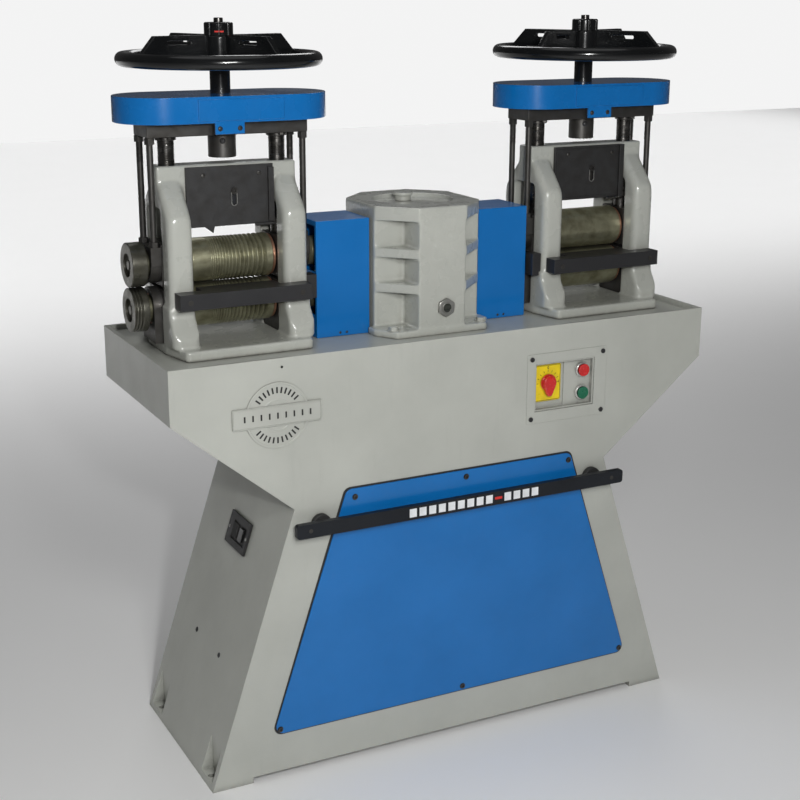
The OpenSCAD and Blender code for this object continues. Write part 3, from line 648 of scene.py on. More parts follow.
def filled(curve: bpy.types.Curve) -> bpy.types.Mesh:
    """The mesh of a flat curve or of lettering.

    Args:
        curve: The curve or the text.

    Returns:
        Its mesh, still in the XY plane.
    """
    blank = add_piece(curve.name, curve)
    mesh = plain_mesh(blank)
    bpy.data.objects.remove(blank)
    return mesh


def polish(piece: bpy.types.Object, angle: float = SHARP_ANGLE) -> bpy.types.Object:
    """Shades a piece smooth, with its flat areas kept flat up to their eased edges.

    Args:
        piece: The piece.
        angle: The angle in degrees past which an edge stays sharp.

    Returns:
        The same piece.
    """
    smooth(piece.data, angle)
    weigh = piece.modifiers.new("normals", "WEIGHTED_NORMAL")
    weigh.mode, weigh.weight, weigh.keep_sharp = "FACE_AREA", 50, True
    return freeze(piece)


def from_bmesh(name: str, bm: bmesh.types.BMesh, place: Matrix | None = None) -> bpy.types.Object:
    """Closes off a bmesh as a piece.

    Args:
        name: The piece's name.
        bm: The mesh being built, which is freed.
        place: Where it goes.

    Returns:
        The piece.
    """
    bmesh.ops.recalc_face_normals(bm, faces=bm.faces)
    if place is not None:
        bm.transform(place)
    mesh = bpy.data.meshes.new(name)
    bm.to_mesh(mesh)
    bm.free()
    return polish(add_piece(name, mesh))


def arc(radius: float, first: float, sweep: float, steps: int, middle: Spot = (0.0, 0.0)) -> list[Spot]:
    """Points along an arc.

    Args:
        radius: Its radius.
        first: The angle at its start.
        sweep: How far it goes round, anticlockwise.
        steps: How many pieces it has.
        middle: Where its middle is.

    Returns:
        Its points, with both ends.
    """
    turns = [first + sweep * k / steps for k in range(steps + 1)]
    return [(middle[0] + radius * math.cos(t), middle[1] + radius * math.sin(t)) for t in turns]


def circle(radius: float, steps: int) -> list[Spot]:
    """A circle's points, anticlockwise."""
    return arc(radius, 0.0, 2 * math.pi, steps)[:-1]


LONGEST_CUT = 0.45  # the most of a side that the rounding of one of its ends may use


def eased(outline: Outline, radius: float, steps: int = 3) -> list[Spot]:
    """Rounds the corners of an open outline.

    Args:
        outline: Its points.
        radius: About how large each rounding is, less where a side is short.
        steps: How many pieces each rounding has.

    Returns:
        The points of the rounded outline.
    """
    points = [Vector(p) for p in outline]
    result = [tuple(points[0])]
    for before, corner, after in zip(points, points[1:], points[2:]):
        back, on = before - corner, after - corner
        cut = min(radius, back.length * LONGEST_CUT, on.length * LONGEST_CUT)
        first, last = corner + back.normalized() * cut, corner + on.normalized() * cut
        for k in range(steps + 1):
            u = k / steps
            result.append(tuple(first * (1 - u) ** 2 + corner * (2 * u * (1 - u)) + last * u * u))
    return [*result, tuple(points[-1])]


def lathe(
    name: str,
    profile: Outline,
    point: Point = (0.0, 0.0, 0.0),
    axis: Axis = Axis.Z,
    steps: int = 96,
    closed: bool = False,
) -> bpy.types.Object:
    """Turns a profile round an axis.

    Args:
        name: The piece's name.
        profile: Places along the axis with the radius at each.
        point: Where the profile's zero lies.
        axis: Which way it runs.
        steps: How many facets it has all round.
        closed: Whether the profile joins up with its own start, as a ring's does.

    Returns:
        The piece.
    """
    bm = bmesh.new()
    rings = []
    for along, radius in profile:
        on_axis = radius <= MERGE
        spots = [(0.0, 0.0)] if on_axis else circle(radius, steps)
        rings.append([bm.verts.new((x, y, along)) for x, y in spots])
    for a, b in zip(rings, rings[1:] + (rings[:1] if closed else [])):
        for k in range(steps):
            ring = [a[k % len(a)], a[(k + 1) % len(a)], b[(k + 1) % len(b)], b[k % len(b)]]
            corners = list(dict.fromkeys(ring))
            if len(corners) > 2:
                bm.faces.new(corners)
    return from_bmesh(name, bm, Matrix.Translation(point) @ axis.matrix)


def cut_sheet(
    name: str,
    loops: Sequence[Outline],
    thickness: float,
    ease: float,
    place: Matrix,
) -> bpy.types.Object:
    """A flat plate cut to an outline, with holes and eased edges.

    Args:
        name: The piece's name.
        loops: The outline, then the outlines of its holes.
        thickness: Its thickness, from zero up.
        ease: How far its edges are rounded.
        place: Takes it from the XY plane to where it goes.

    Returns:
        The piece.
    """
    curve = bpy.data.curves.new(name, "CURVE")
    curve.dimensions, curve.fill_mode = "2D", "BOTH"
    for loop in loops:
        spline = curve.splines.new("POLY")
        spline.points.add(len(loop) - 1)
        spline.points.foreach_set("co", [v for x, y in loop for v in (x, y, 0.0, 1.0)])
        spline.use_cyclic_u = True
    curve.extrude = thickness / 2 - ease
    curve.bevel_depth, curve.bevel_resolution, curve.offset = ease, 2, -ease
    bm = bmesh.new()
    bm.from_mesh(filled(curve))
    bmesh.ops.remove_doubles(bm, verts=bm.verts, dist=MERGE)
    return from_bmesh(name, bm, place @ Matrix.Translation((0, 0, thickness / 2)))


def rectangle(width: float, height: float, radius: float, middle: Spot = (0.0, 0.0)) -> list[Spot]:
    """A rectangle with round corners.

    Args:
        width: Its width.
        height: Its height.
        radius: The radius of its corners.
        middle: Where its middle is.

    Returns:
        Its points, anticlockwise.
    """
    points = []
    for quarter, (sx, sy) in enumerate(((1, 1), (-1, 1), (-1, -1), (1, -1))):
        corner = middle[0] + sx * (width / 2 - radius), middle[1] + sy * (height / 2 - radius)
        points += arc(radius, math.pi / 2 * quarter, math.pi / 2, 6, corner)
    return points


def teardrop(round_radius: float, tip_radius: float, reach: float, steps: int = 40) -> list[Spot]:
    """A round outline drawn out downwards to a smaller round tip.

    Args:
        round_radius: The radius of the large end, round the origin.
        tip_radius: The radius of the tip.
        reach: How far below the origin the tip's middle is.
        steps: How many pieces each round end has.

    Returns:
        Its points, anticlockwise.
    """
    lean = math.asin((round_radius - tip_radius) / reach)
    large = arc(round_radius, -lean, math.pi + 2 * lean, steps)
    return large + arc(tip_radius, math.pi + lean, math.pi - 2 * lean, steps, (0.0, -reach))


def rod_profile(foot: float, top: float, radius: float, ease: float, steps: int = 3) -> list[Spot]:
    """The profile of a plain round rod.

    Args:
        foot: Where it starts along its axis.
        top: Where it ends.
        radius: Its radius.
        ease: The rounding of its ends.
        steps: How many pieces each rounding has.

    Returns:
        Its points, for a lathe.
    """
    return eased([(foot, 0.0), (foot, radius), (top, radius), (top, 0.0)], ease, steps)


def facing_front(x: float, y: float, z: float) -> Matrix:
    """Stands a flat plate up so that it faces the front, with its back at y."""
    return Matrix.Translation((x, y, z)) @ Matrix.Rotation(math.pi / 2, 4, "X")


@dataclass
class Workshop:
    """Makes pieces from CAD nodes, dresses them and hands them to the frame."""

    frame: dict
    finishes: Finishes = field(default_factory=Finishes)
    shoulder_rounds: int = 60
    made: int = 0

    def body_of(self, node: str) -> str:
        """The CAD body that a node belongs to."""
        return self.frame["nodes"][node]["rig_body"]

    def dress(self, piece: bpy.types.Object, body: str, finish: str, *nodes: str) -> bpy.types.Object:
        """Gives a piece its finish and its body, and hides the CAD nodes that it stands for.

        Args:
            piece: The finished piece.
            body: The CAD body that it moves with.
            finish: The finish's name.
            nodes: The CAD nodes that it stands for.

        Returns:
            The piece.
        """
        piece.data.materials.clear()
        piece.data.materials.append(self.finishes[finish])
        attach(piece, body)
        if nodes:
            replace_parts(piece, *nodes)
        slot = self.finishes.recipes[finish].slot
        self.made += 1
        LOG.info("%s: %d faces, rides on %s", piece.name, len(piece.data.polygons), body)
        return piece

    def copy(self, node: str) -> bpy.types.Object:
        """A joined-up copy of a CAD node's mesh.

        Args:
            node: The node.

        Returns:
            The copy, with flat areas made single faces.
        """
        bm = bmesh.new()
        bm.from_mesh(self.frame["nodes"][node].data)
        bmesh.ops.remove_doubles(bm, verts=bm.verts, dist=CAD_MERGE)
        bmesh.ops.dissolve_limit(bm, angle_limit=math.radians(FLAT_ANGLE), verts=bm.verts, edges=bm.edges)
        mesh = bpy.data.meshes.new(node)
        bm.to_mesh(mesh)
        bm.free()
        return add_piece(f"{node}_looks", mesh)

    def refined(
        self, node: str, finish: str, ease: float = 0.0006, segments: int = 2, angle: float = 40.0
    ) -> bpy.types.Object:
        """A CAD node with its edges eased and its curves shaded smooth.

        Args:
            node: The node.
            finish: The finish's name.
            ease: The rounding of its edges.
            segments: How many facets each rounding has.
            angle: The angle in degrees past which an edge is shaded sharp.

        Returns:
            The dressed piece, which stands for the node.
        """
        piece = self.copy(node)
        bevel = piece.modifiers.new("ease", "BEVEL")
        bevel.width, bevel.segments = ease, segments
        bevel.limit_method, bevel.angle_limit = "ANGLE", math.radians(SHARP_ANGLE)
        bevel.use_clamp_overlap = True
        freeze(piece)
        polish(piece, angle)
        return self.dress(piece, self.body_of(node), finish, node)

    def cast(
        self, node: str, grain: float, rounds: int, shoulder: Callable[[Vector], float] | None = None
    ) -> bpy.types.Object:
        """A CAD node remade as a casting, with every edge and inner corner run soft.

        Args:
            node: The node.
            grain: The size of the new mesh's faces.
            rounds: How often its edges are softened.
            shoulder: Gives how strongly a point is softened again, from 0 to 1.

        Returns:
            The dressed piece, which stands for the node.
        """
        piece = self.copy(node)
        remesh = piece.modifiers.new("grain", "REMESH")
        remesh.mode, remesh.voxel_size, remesh.use_smooth_shade = "VOXEL", grain, True
        soften = piece.modifiers.new("soften", "SMOOTH")
        soften.factor, soften.iterations = 0.5, rounds
        freeze(piece)
        if shoulder is not None:
            group = piece.vertex_groups.new(name="shoulder")
            for vertex in piece.data.vertices:
                weight = shoulder(vertex.co)
                if weight > 0:
                    group.add([vertex.index], weight, "REPLACE")
            more = piece.modifiers.new("shoulder", "SMOOTH")
            more.factor, more.iterations, more.vertex_group = 0.5, self.shoulder_rounds, "shoulder"
            freeze(piece)
            piece.vertex_groups.clear()
        smooth(piece.data, 75)
        return self.dress(piece, self.body_of(node), "cast_enamel", node)


# ------------------------------------------------------------------ geometry node trees


class Pattern(Nodes):
    """A Geometry Nodes tree for something that repeats."""

    def __init__(self, name: str, sizes: dict[str, float]) -> None:
        """Starts a tree with its inputs and its output.

        Args:
            name: The tree's name.
            sizes: Its named inputs with their usual values.
        """
        tree = bpy.data.node_groups.new(name, "GeometryNodeTree")
        super().__init__(tree)
        face = tree.interface
        face.new_socket("Geometry", in_out="INPUT", socket_type="NodeSocketGeometry")
        self.keys: dict[str, str] = {}
        for size, usual in sizes.items():
            socket = face.new_socket(size, in_out="INPUT", socket_type="NodeSocketFloat")
            socket.default_value = usual
            self.keys[size] = socket.identifier
        finish = face.new_socket("Finish", in_out="INPUT", socket_type="NodeSocketMaterial")
        self.keys["Finish"] = finish.identifier
        face.new_socket("Geometry", in_out="OUTPUT", socket_type="NodeSocketGeometry")
        self.source = self.add("NodeGroupInput")
        self.sink = self.add("NodeGroupOutput")

    def size(self, name: str) -> bpy.types.NodeSocket:
        """A named input of the tree."""
        return self.source.outputs[name]

    def vector(self, x: object = 0.0, y: object = 0.0, z: object = 0.0) -> bpy.types.Node:
        """A vector from numbers and sockets."""
        return self.add("ShaderNodeCombineXYZ", {0: x, 1: y, 2: z})

    def moved(self, geometry: object, x: object = 0.0, y: object = 0.0, z: object = 0.0) -> bpy.types.Node:
        """Geometry moved by a vector."""
        return self.add("GeometryNodeTransform", {"Geometry": geometry, "Translation": self.vector(x, y, z)})

    def cylinder(self, radius: object, depth: object, sides: int) -> bpy.types.Node:
        """A cylinder that stands on the origin.

        Args:
            radius: Its radius.
            depth: Its height.
            sides: How many sides it has.

        Returns:
            The node that gives it.
        """
        body = self.add("GeometryNodeMeshCylinder", {"Vertices": sides, "Radius": radius, "Depth": depth})
        return self.moved(body.outputs["Mesh"], z=self.math("MULTIPLY", depth, 0.5))

    def cut(self, body: object, tool: object, operation: str = "DIFFERENCE") -> bpy.types.Node:
        """One mesh cut with another.

        Args:
            body: What is cut.
            tool: What it is cut with.
            operation: DIFFERENCE or INTERSECT.

        Returns:
            The node that gives the result.
        """
        node = self.add("GeometryNodeMeshBoolean", operation=operation, solver="EXACT")
        self.feed(node.inputs["Mesh 1" if operation == "DIFFERENCE" else "Mesh 2"], body)
        self.feed(node.inputs["Mesh 2"], tool)
        return node

    def ring(self, radius: object, points: int) -> bpy.types.Node:
        """A circle as a curve."""
        return self.add("GeometryNodeCurvePrimitiveCircle", {"Resolution": points, "Radius": radius})

    def swept(self, path: object, section: object, capped: bool = False) -> bpy.types.Node:
        """A section drawn along a path."""
        inputs = {"Curve": path, "Profile Curve": section, "Fill Caps": capped}
        return self.add("GeometryNodeCurveToMesh", inputs)

    def join(self, *parts: object) -> bpy.types.Node:
        """Several geometries as one."""
        node = self.add("GeometryNodeJoinGeometry")
        for part in reversed(parts):
            self.feed(node.inputs[0], part)
        return node

    def at_points(self, instance: object, spin: object) -> bpy.types.Node:
        """Puts a piece on every point of the input, its +Z along the point's facing.

        Args:
            instance: The piece.
            spin: How far each is turned about its own axis.

        Returns:
            The node that gives them all.
        """
        facing = self.add("GeometryNodeInputNamedAttribute", {"Name": "facing"}, data_type="FLOAT_VECTOR")
        aim = self.add("FunctionNodeAlignRotationToVector", {"Vector": facing.outputs["Attribute"]}, axis="Z")
        own = self.add("FunctionNodeAxisAngleToRotation", {"Axis": (0.0, 0.0, 1.0), "Angle": spin})
        both = {"Rotation": aim, "Rotate By": own}
        turned = self.add("FunctionNodeRotateRotation", both, rotation_space="LOCAL")
        return self.instances(self.source.outputs["Geometry"], instance, turned)

    def instances(self, points: object, instance: object, rotation: object) -> bpy.types.Node:
        """A piece on every one of some points, turned as asked."""
        inputs = {"Points": points, "Instance": instance, "Rotation": rotation}
        return self.add("GeometryNodeInstanceOnPoints", inputs)

    def close(self, geometry: object) -> "Pattern":
        """Ends the tree: instances made real, with the finish on.

        Args:
            geometry: What the tree has made.

        Returns:
            The tree.
        """
        real = self.add("GeometryNodeRealizeInstances", {"Geometry": geometry})
        dressed = self.add("GeometryNodeSetMaterial", {"Geometry": real, "Material": self.size("Finish")})
        self.feed(self.sink.inputs[0], dressed)
        return self

    def grow(
        self, name: str, start: bpy.types.Mesh, finish: bpy.types.Material, **sizes: float
    ) -> bpy.types.Object:
        """Runs the tree and keeps the result as a plain mesh.

        Args:
            name: The piece's name.
            start: The mesh that the tree works on.
            finish: The finish.
            sizes: The inputs to change, with _ for spaces.

        Returns:
            The piece.
        """
        piece = add_piece(name, start)
        modifier = piece.modifiers.new("pattern", "NODES")
        modifier.node_group = self.tree
        modifier[self.keys["Finish"]] = finish
        for size, value in sizes.items():
            modifier[self.keys[size.replace("_", " ").title()]] = float(value)
        freeze(piece)
        return polish(piece, 40)


def points_mesh(name: str, seats: Seats) -> bpy.types.Mesh:
    """A mesh of loose points, each with the way that it faces.

    Args:
        name: The mesh's name.
        seats: Each point with its facing.

    Returns:
        The mesh.
    """
    mesh = bpy.data.meshes.new(name)
    mesh.from_pydata([point for point, _ in seats], [], [])
    facing = mesh.attributes.new("facing", "FLOAT_VECTOR", "POINT")
    facing.data.foreach_set("vector", [v for _, way in seats for v in way])
    return mesh


def screw_pattern(head: Head) -> Pattern:
    """The tree for one kind of screw head, on a washer where it has one.

    Args:
        head: The kind of head.

    Returns:
        The tree, whose head stands on each point.
    """
    p = Pattern(f"{head.value}_screws", {"Radius": 0.004, "Height": 0.003, "Washer": 0.0, "Seed": 1.0})
    radius, height, washer = p.size("Radius"), p.size("Height"), p.size("Washer")
    base = p.math("MULTIPLY", height, 0.18)
    if head is Head.HEX:
        prism = p.cylinder(p.math("DIVIDE", radius, math.cos(math.pi / 6)), height, 6)
        top = p.math("MULTIPLY", radius, 0.93)
        bottom = p.math("ADD", p.math("MULTIPLY", radius, 0.93), p.math("MULTIPLY", height, 1.9))
        inputs = {"Vertices": 32, "Radius Top": top, "Radius Bottom": bottom, "Depth": height}
        cone = p.add("GeometryNodeMeshCone", inputs)
        body = p.cut(prism, cone.outputs["Mesh"], "INTERSECT")
    elif head is Head.SLOTTED:
        ball = p.add("GeometryNodeMeshUVSphere", {"Segments": 28, "Rings": 14, "Radius": 1.0})
        scale = p.vector(radius, radius, height)
        squat = p.add("GeometryNodeTransform", {"Geometry": ball.outputs["Mesh"], "Scale": scale})
        size = p.vector(p.math("MULTIPLY", radius, 3.0), p.math("MULTIPLY", radius, 0.26), height)
        blade = p.add("GeometryNodeMeshCube", {"Size": size})
        body = p.cut(squat, p.moved(blade.outputs["Mesh"], z=height))
    else:
        cap = p.cylinder(radius, height, 32)
        key = p.cylinder(p.math("MULTIPLY", radius, 0.56), height, 6)
        body = p.cut(cap, p.moved(key, z=p.math("MULTIPLY", height, 0.4)))
    flat = p.cylinder(p.math("MAXIMUM", washer, p.math("MULTIPLY", radius, 0.5)), base, 32)
    spin = p.add("FunctionNodeRandomValue", {2: 0.0, 3: 2 * math.pi, 8: p.size("Seed")}, data_type="FLOAT")
    return p.close(p.at_points(p.join(body, flat), spin.outputs[1]))


def thread_pattern() -> Pattern:
    """The tree for a screw thread that runs up from each point along its facing."""
    p = Pattern("threads", {"Radius": 0.006, "Pitch": 0.002, "Length": 0.05})
    radius, pitch, length = p.size("Radius"), p.size("Pitch"), p.size("Length")
    turns = p.math("DIVIDE", length, pitch)
    ends = {"Start Radius": radius, "End Radius": radius, "Height": length}
    coil = p.add("GeometryNodeCurveSpiral", {"Resolution": 18, "Rotations": turns, **ends})
    ridge = p.ring(p.math("MULTIPLY", pitch, 0.22), 3)
    return p.close(p.at_points(p.swept(coil, ridge, True), 0.0))


def spoke_pattern() -> Pattern:
    """The tree for a handwheel: the input is one arm along +X, repeated inside a round rim."""
    p = Pattern(
        "wheel_with_arms",
        {"Rim Radius": 0.176, "Rim Section": 0.013, "Arms": 4.0, "Turn": 0.0, "X": 0.0, "Y": 0.0, "Z": 0.0},
    )
    line = p.add("GeometryNodeMeshLine", {"Count": p.size("Arms"), "Offset": (0.0, 0.0, 0.0)}, mode="OFFSET")
    index = p.add("GeometryNodeInputIndex")
    step = p.math("MULTIPLY", index, p.math("DIVIDE", 2 * math.pi, p.size("Arms")))
    angle = p.math("ADD", step, p.size("Turn"))
    spin = p.add("FunctionNodeAxisAngleToRotation", {"Axis": (0.0, 0.0, 1.0), "Angle": angle})
    arms = p.instances(line, p.source.outputs["Geometry"], spin)
    rim = p.swept(p.ring(p.size("Rim Radius"), 160), p.ring(p.size("Rim Section"), 28))
    return p.close(p.moved(p.join(arms, rim), p.size("X"), p.size("Y"), p.size("Z")))


def bar_pattern() -> Pattern:
    """The tree for flat marks on a front face: a thin bar on each point, at its own turn."""
    p = Pattern("marks", {"Length": 0.008, "Width": 0.002, "Depth": 0.0006})
    size = p.vector(p.size("Length"), p.size("Depth"), p.size("Width"))
    bar = p.add("GeometryNodeMeshCube", {"Size": size})
    turn = p.add("GeometryNodeInputNamedAttribute", {"Name": "turn"}, data_type="FLOAT")
    inputs = {"Axis": (0.0, -1.0, 0.0), "Angle": turn.outputs["Attribute"]}
    spin = p.add("FunctionNodeAxisAngleToRotation", inputs)
    return p.close(p.instances(p.source.outputs["Geometry"], bar.outputs["Mesh"], spin))


@dataclass(frozen=True)
class Screw:
    """One kind and size of screw head, by half its width across the flats. Washer 0 is none."""

    head: Head
    finish: str
    radius: float
    height: float
    washer: float = 0.0


@dataclass(frozen=True)
class Thread:
    """One size of thread: the rod's radius, the rise a turn and how far it runs."""

    finish: str
    radius: float
    pitch: float
    length: float


@dataclass
class Repeats:
    """Places whatever comes in numbers: screw heads, threads and flat marks."""

    shop: Workshop
    seed: float = 7.0
    heads: dict[Head, Pattern] = field(default_factory=dict)

    @cached_property
    def bars(self) -> Pattern:
        """The tree for flat marks."""
        return bar_pattern()

    @cached_property
    def threads(self) -> Pattern:
        """The tree for threads."""
        return thread_pattern()

    def grow(
        self, name: str, tree: Pattern, start: bpy.types.Mesh, body: str, finish: str,
        nodes: Sequence[str] = (), **sizes: float,
    ) -> bpy.types.Object:
        """Runs a tree and dresses what it gives.

        Args:
            name: The piece's name.
            tree: The tree.
            start: The mesh that it works on.
            body: The CAD body that the piece moves with.
            finish: The finish's name.
            nodes: The CAD nodes that it stands for.
            sizes: The tree's inputs to change.

        Returns:
            The dressed piece.
        """
        piece = tree.grow(name, start, self.shop.finishes[finish], **sizes)
        return self.shop.dress(piece, body, finish, *nodes)

    def screws(self, name: str, screw: Screw, seats: Seats, body: str = "stand") -> bpy.types.Object:
        """Puts a screw head at each seat.

        Args:
            name: The piece's name.
            screw: The size and kind of head.
            seats: Each seat with the way that the screw faces.
            body: The CAD body that they move with.

        Returns:
            All the heads as one piece.
        """
        if screw.head not in self.heads:
            self.heads[screw.head] = screw_pattern(screw.head)
        return self.grow(
            name, self.heads[screw.head], points_mesh(name, seats), body, screw.finish,
            radius=screw.radius, height=screw.height, washer=screw.washer, seed=self.seed)

    def thread(self, name: str, thread: Thread, feet: Seats, body: str) -> bpy.types.Object:
        """Runs a thread up each rod.

        Args:
            name: The piece's name.
            thread: The size of thread.
            feet: The foot of each thread with the way that it runs.
            body: The CAD body that they move with.

        Returns:
            All the threads as one piece.
        """
        return self.grow(
            name, self.threads, points_mesh(name, feet), body, thread.finish,
            radius=thread.radius, pitch=thread.pitch, length=thread.length)

    def marks(
        self, name: str, places: Sequence[tuple[Point, float]], finish: str, size: Spot,
        depth: float = 0.0005, body: str = "stand",
    ) -> bpy.types.Object:
        """Lays flat bars on a front face.

        Args:
            name: The piece's name.
            places: Each bar's middle with its turn in that face.
            finish: The finish's name.
            size: How long and how wide each is.
            depth: How thick each is, half of it proud.
            body: The CAD body that they move with.

        Returns:
            All the bars as one piece.
        """
        mesh = bpy.data.meshes.new(name)
        mesh.from_pydata([point for point, _ in places], [], [])
        mesh.attributes.new("turn", "FLOAT", "POINT").data.foreach_set("value", [turn for _, turn in places])
        return self.grow(name, self.bars, mesh, body, finish, length=size[0], width=size[1], depth=depth)


# ------------------------------------------------------------------ what the sub-assemblies share

LET_IN = 0.0001  # how far a thin trim is let into the face that it lies on


@dataclass(frozen=True)
class Box:
    """The box round a CAD node."""

    low: Vector
    high: Vector

    @classmethod
    def of(cls, node: str) -> "Box":
        """The box of one node."""
        return cls(*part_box(node))

    @property
    def middle(self) -> Point:
        """Its middle."""
        return tuple((a + b) / 2 for a, b in zip(self.low, self.high))

    @property
    def size(self) -> Point:
        """Its width, depth and height."""
        return tuple(b - a for a, b in zip(self.low, self.high))


@dataclass
class Assembly:
    """What every sub-assembly has: the workshop, and the maker of its screws, threads and marks."""

    shop: Workshop
    repeats: Repeats

    def build(self) -> None:
        """Makes every piece of the sub-assembly."""
        raise NotImplementedError


@dataclass
class SideAssembly(Assembly):
    """A sub-assembly that each side of the machine has its own copy of."""

    side: Side

    def box(self, stem: str) -> Box:
        """The box round this side's copy of a CAD node."""
        return Box.of(self.side.node(stem))


# ------------------------------------------------------------------ stand and its fittings


@dataclass
class Stand(Assembly):
    """The T-shaped sheet-steel stand, with two screws in its left side and a small hole in its front."""

    bend: float = 0.0028
    foot_half: float = 0.532
    neck_half: float = 0.351
    neck_height: float = 0.553
    side_screws: tuple[Spot, ...] = ((0.071, 0.217), (-0.060, 0.216))
    screw: Screw = Screw(Head.SLOTTED, "black_satin", 0.0054, 0.0022)
    small_hole: Spot = (-0.371, 0.833)
    hole_radius: float = 0.0024
    hole_rise: float = 0.0003

    def on_slope(self, y: float, z: float) -> tuple[Point, Point]:
        """A point on the left side's slope with the way that the sheet faces.

        Args:
            y: Its place front to back.
            z: Its height.

        Returns:
            The point and the sheet's normal.
        """
        lean = math.atan2(self.foot_half - self.neck_half, self.neck_height)
        x = self.foot_half - (self.foot_half - self.neck_half) * z / self.neck_height
        return (-x, y, z), (-math.cos(lean), 0.0, math.sin(lean))

    def build(self) -> None:
        """Makes the stand, the screws in its side and the hole, which is a flat dark disc of painted shade.
        """
        self.shop.refined("stand_body", "sheet_enamel", self.bend, 8, 14)
        self.repeats.screws("side_screws", self.screw, [self.on_slope(y, z) for y, z in self.side_screws])
        # The hole is a flat dark disc: painted shade for its inside.
        x, z = self.small_hole
        front, rise = Box.of("stand_body").low.y, self.hole_rise
        disc = [(0.0, self.hole_radius), (rise, self.hole_radius), (rise, 0.0)]
        self.shop.dress(lathe("front_hole", disc, (x, front - rise, z), Axis.Y, 24), "stand", "hole")


@dataclass
class Badge(Assembly):
    """A blank badge: a rimmed disc crossed by a bare banner, with dial ticks round it."""

    rim_rise: float = 0.0026
    field_rise: float = 0.0012
    ring_rise: float = 0.0018
    banner: Spot = (0.177, 0.040)
    banner_rise: float = 0.0035
    ticks: int = 11
    tick_arc: float = math.radians(104)
    tick_circle: float = 0.76
    banner_ticks: int = 9
    banner_pitch: float = 0.092

    def build(self) -> None:
        """Makes the disc, the banner with its rim, and the ticks."""
        disc = Box.of("badge_disc")
        x, _, z = disc.middle
        back, radius = disc.high.y, disc.size[0] / 2
        rim, low, ring = -self.rim_rise, -self.field_rise, -self.ring_rise
        profile = eased(
            [(0, radius), (rim, radius), (rim, radius - 0.0035), (low, radius - 0.0045), (low, radius * 0.50),
             (ring, radius * 0.49), (ring, radius * 0.46), (low, radius * 0.45), (low, 0.0)], 0.0004)
        face = lathe("badge_face", [(0, 0.0), *profile], (x, back, z), Axis.Y, 128)
        self.shop.dress(face, "stand", "sheet_enamel", "badge_disc")
        width, height = self.banner
        front = back - self.banner_rise
        outline = rectangle(width, height, 0.002)
        plate = cut_sheet("badge_banner", [outline], self.banner_rise, 0.0005, facing_front(x, back, z))
        self.shop.dress(plate, "stand", "sheet_enamel")
        border = [rectangle(width - a, height - a, r) for a, r in ((0.003, 0.0015), (0.0062, 0.001))]
        trim = cut_sheet("badge_banner_rim", border, 0.0008, 0.0002, facing_front(x, front + LET_IN, z))
        self.shop.dress(trim, "stand", "sheet_enamel")
        marks = []
        for middle in (math.pi / 2, -math.pi / 2):
            for k in range(self.ticks):
                turn = middle + self.tick_arc * (k / (self.ticks - 1) - 0.5)
                out, up = (radius * self.tick_circle * f(turn) for f in (math.cos, math.sin))
                marks.append(((x + out, back + low, z + up), turn))
        for k in range(self.banner_ticks):
            across = (k - self.banner_ticks // 2) * width * self.banner_pitch
            marks.append(((x + across, front, z), math.pi / 2))
        self.repeats.marks("badge_ticks", marks, "mark_black", (0.0115, 0.0032))


@dataclass
class FrontPanel(Assembly):
    """The blue access panel on its gasket, held by six button-head screws."""

    screw: Screw = Screw(Head.SOCKET, "dark_steel", 0.0048, 0.0026, 0.0062)
    screws: tuple[Spot, ...] = (
        (-0.227, 0.560), (0.0175, 0.563), (0.260, 0.562), (-0.391, 0.105), (0.017, 0.104), (0.411, 0.105),
    )

    def build(self) -> None:
        """Makes the panel, the gasket and the screws."""
        self.shop.refined("panel_gasket", "rubber", 0.0004)
        self.shop.refined("front_panel", "blue_enamel", 0.0009, 3)
        face = Box.of("front_panel").low.y
        self.repeats.screws("panel_screws", self.screw, [((x, face, z), FRONT) for x, z in self.screws])


@dataclass
class PowerInlet(Assembly):
    """The power inlet on the left side: a dark frame with a socket, a switch and two screws."""

    stand: Stand
    height: float = 0.443
    floor_rise: float = 0.0022
    screw_reach: float = 0.044
    screw_rise: float = 0.0052
    screw: Screw = Screw(Head.SLOTTED, "bright_steel", 0.0033, 0.0014)

    def build(self) -> None:
        """Makes the frame with the insert, the rocker and the screws."""
        self.shop.refined("power_inlet", "black_plastic", 0.0008)
        (x, _, z), facing = self.stand.on_slope(0.0, self.height)
        forward, out = Vector(FRONT), Vector(facing)
        up = out.cross(forward).normalized()
        seat = Matrix.Translation((x, 0, z)) @ Matrix((forward, up, out)).transposed().to_4x4()

        def at(a: float, c: float) -> Matrix:
            """A place on the frame's middle line: towards the front and out of the side."""
            return seat @ Matrix.Translation((a, 0, c))

        insert = cut_sheet(
            "inlet_socket", [rectangle(0.027, 0.030, 0.003)], 0.0028, 0.0008, at(-0.018, self.floor_rise))
        self.shop.dress(insert, "stand", "rubber")
        rocker = cut_sheet(
            "inlet_rocker", [rectangle(0.020, 0.028, 0.002)], 0.0042, 0.0010, at(0.017, self.floor_rise))
        self.shop.dress(rocker, "stand", "black_gloss")
        places = [at(a, self.screw_rise).translation for a in (-self.screw_reach, self.screw_reach)]
        self.repeats.screws("inlet_screws", self.screw, [(tuple(place), facing) for place in places])


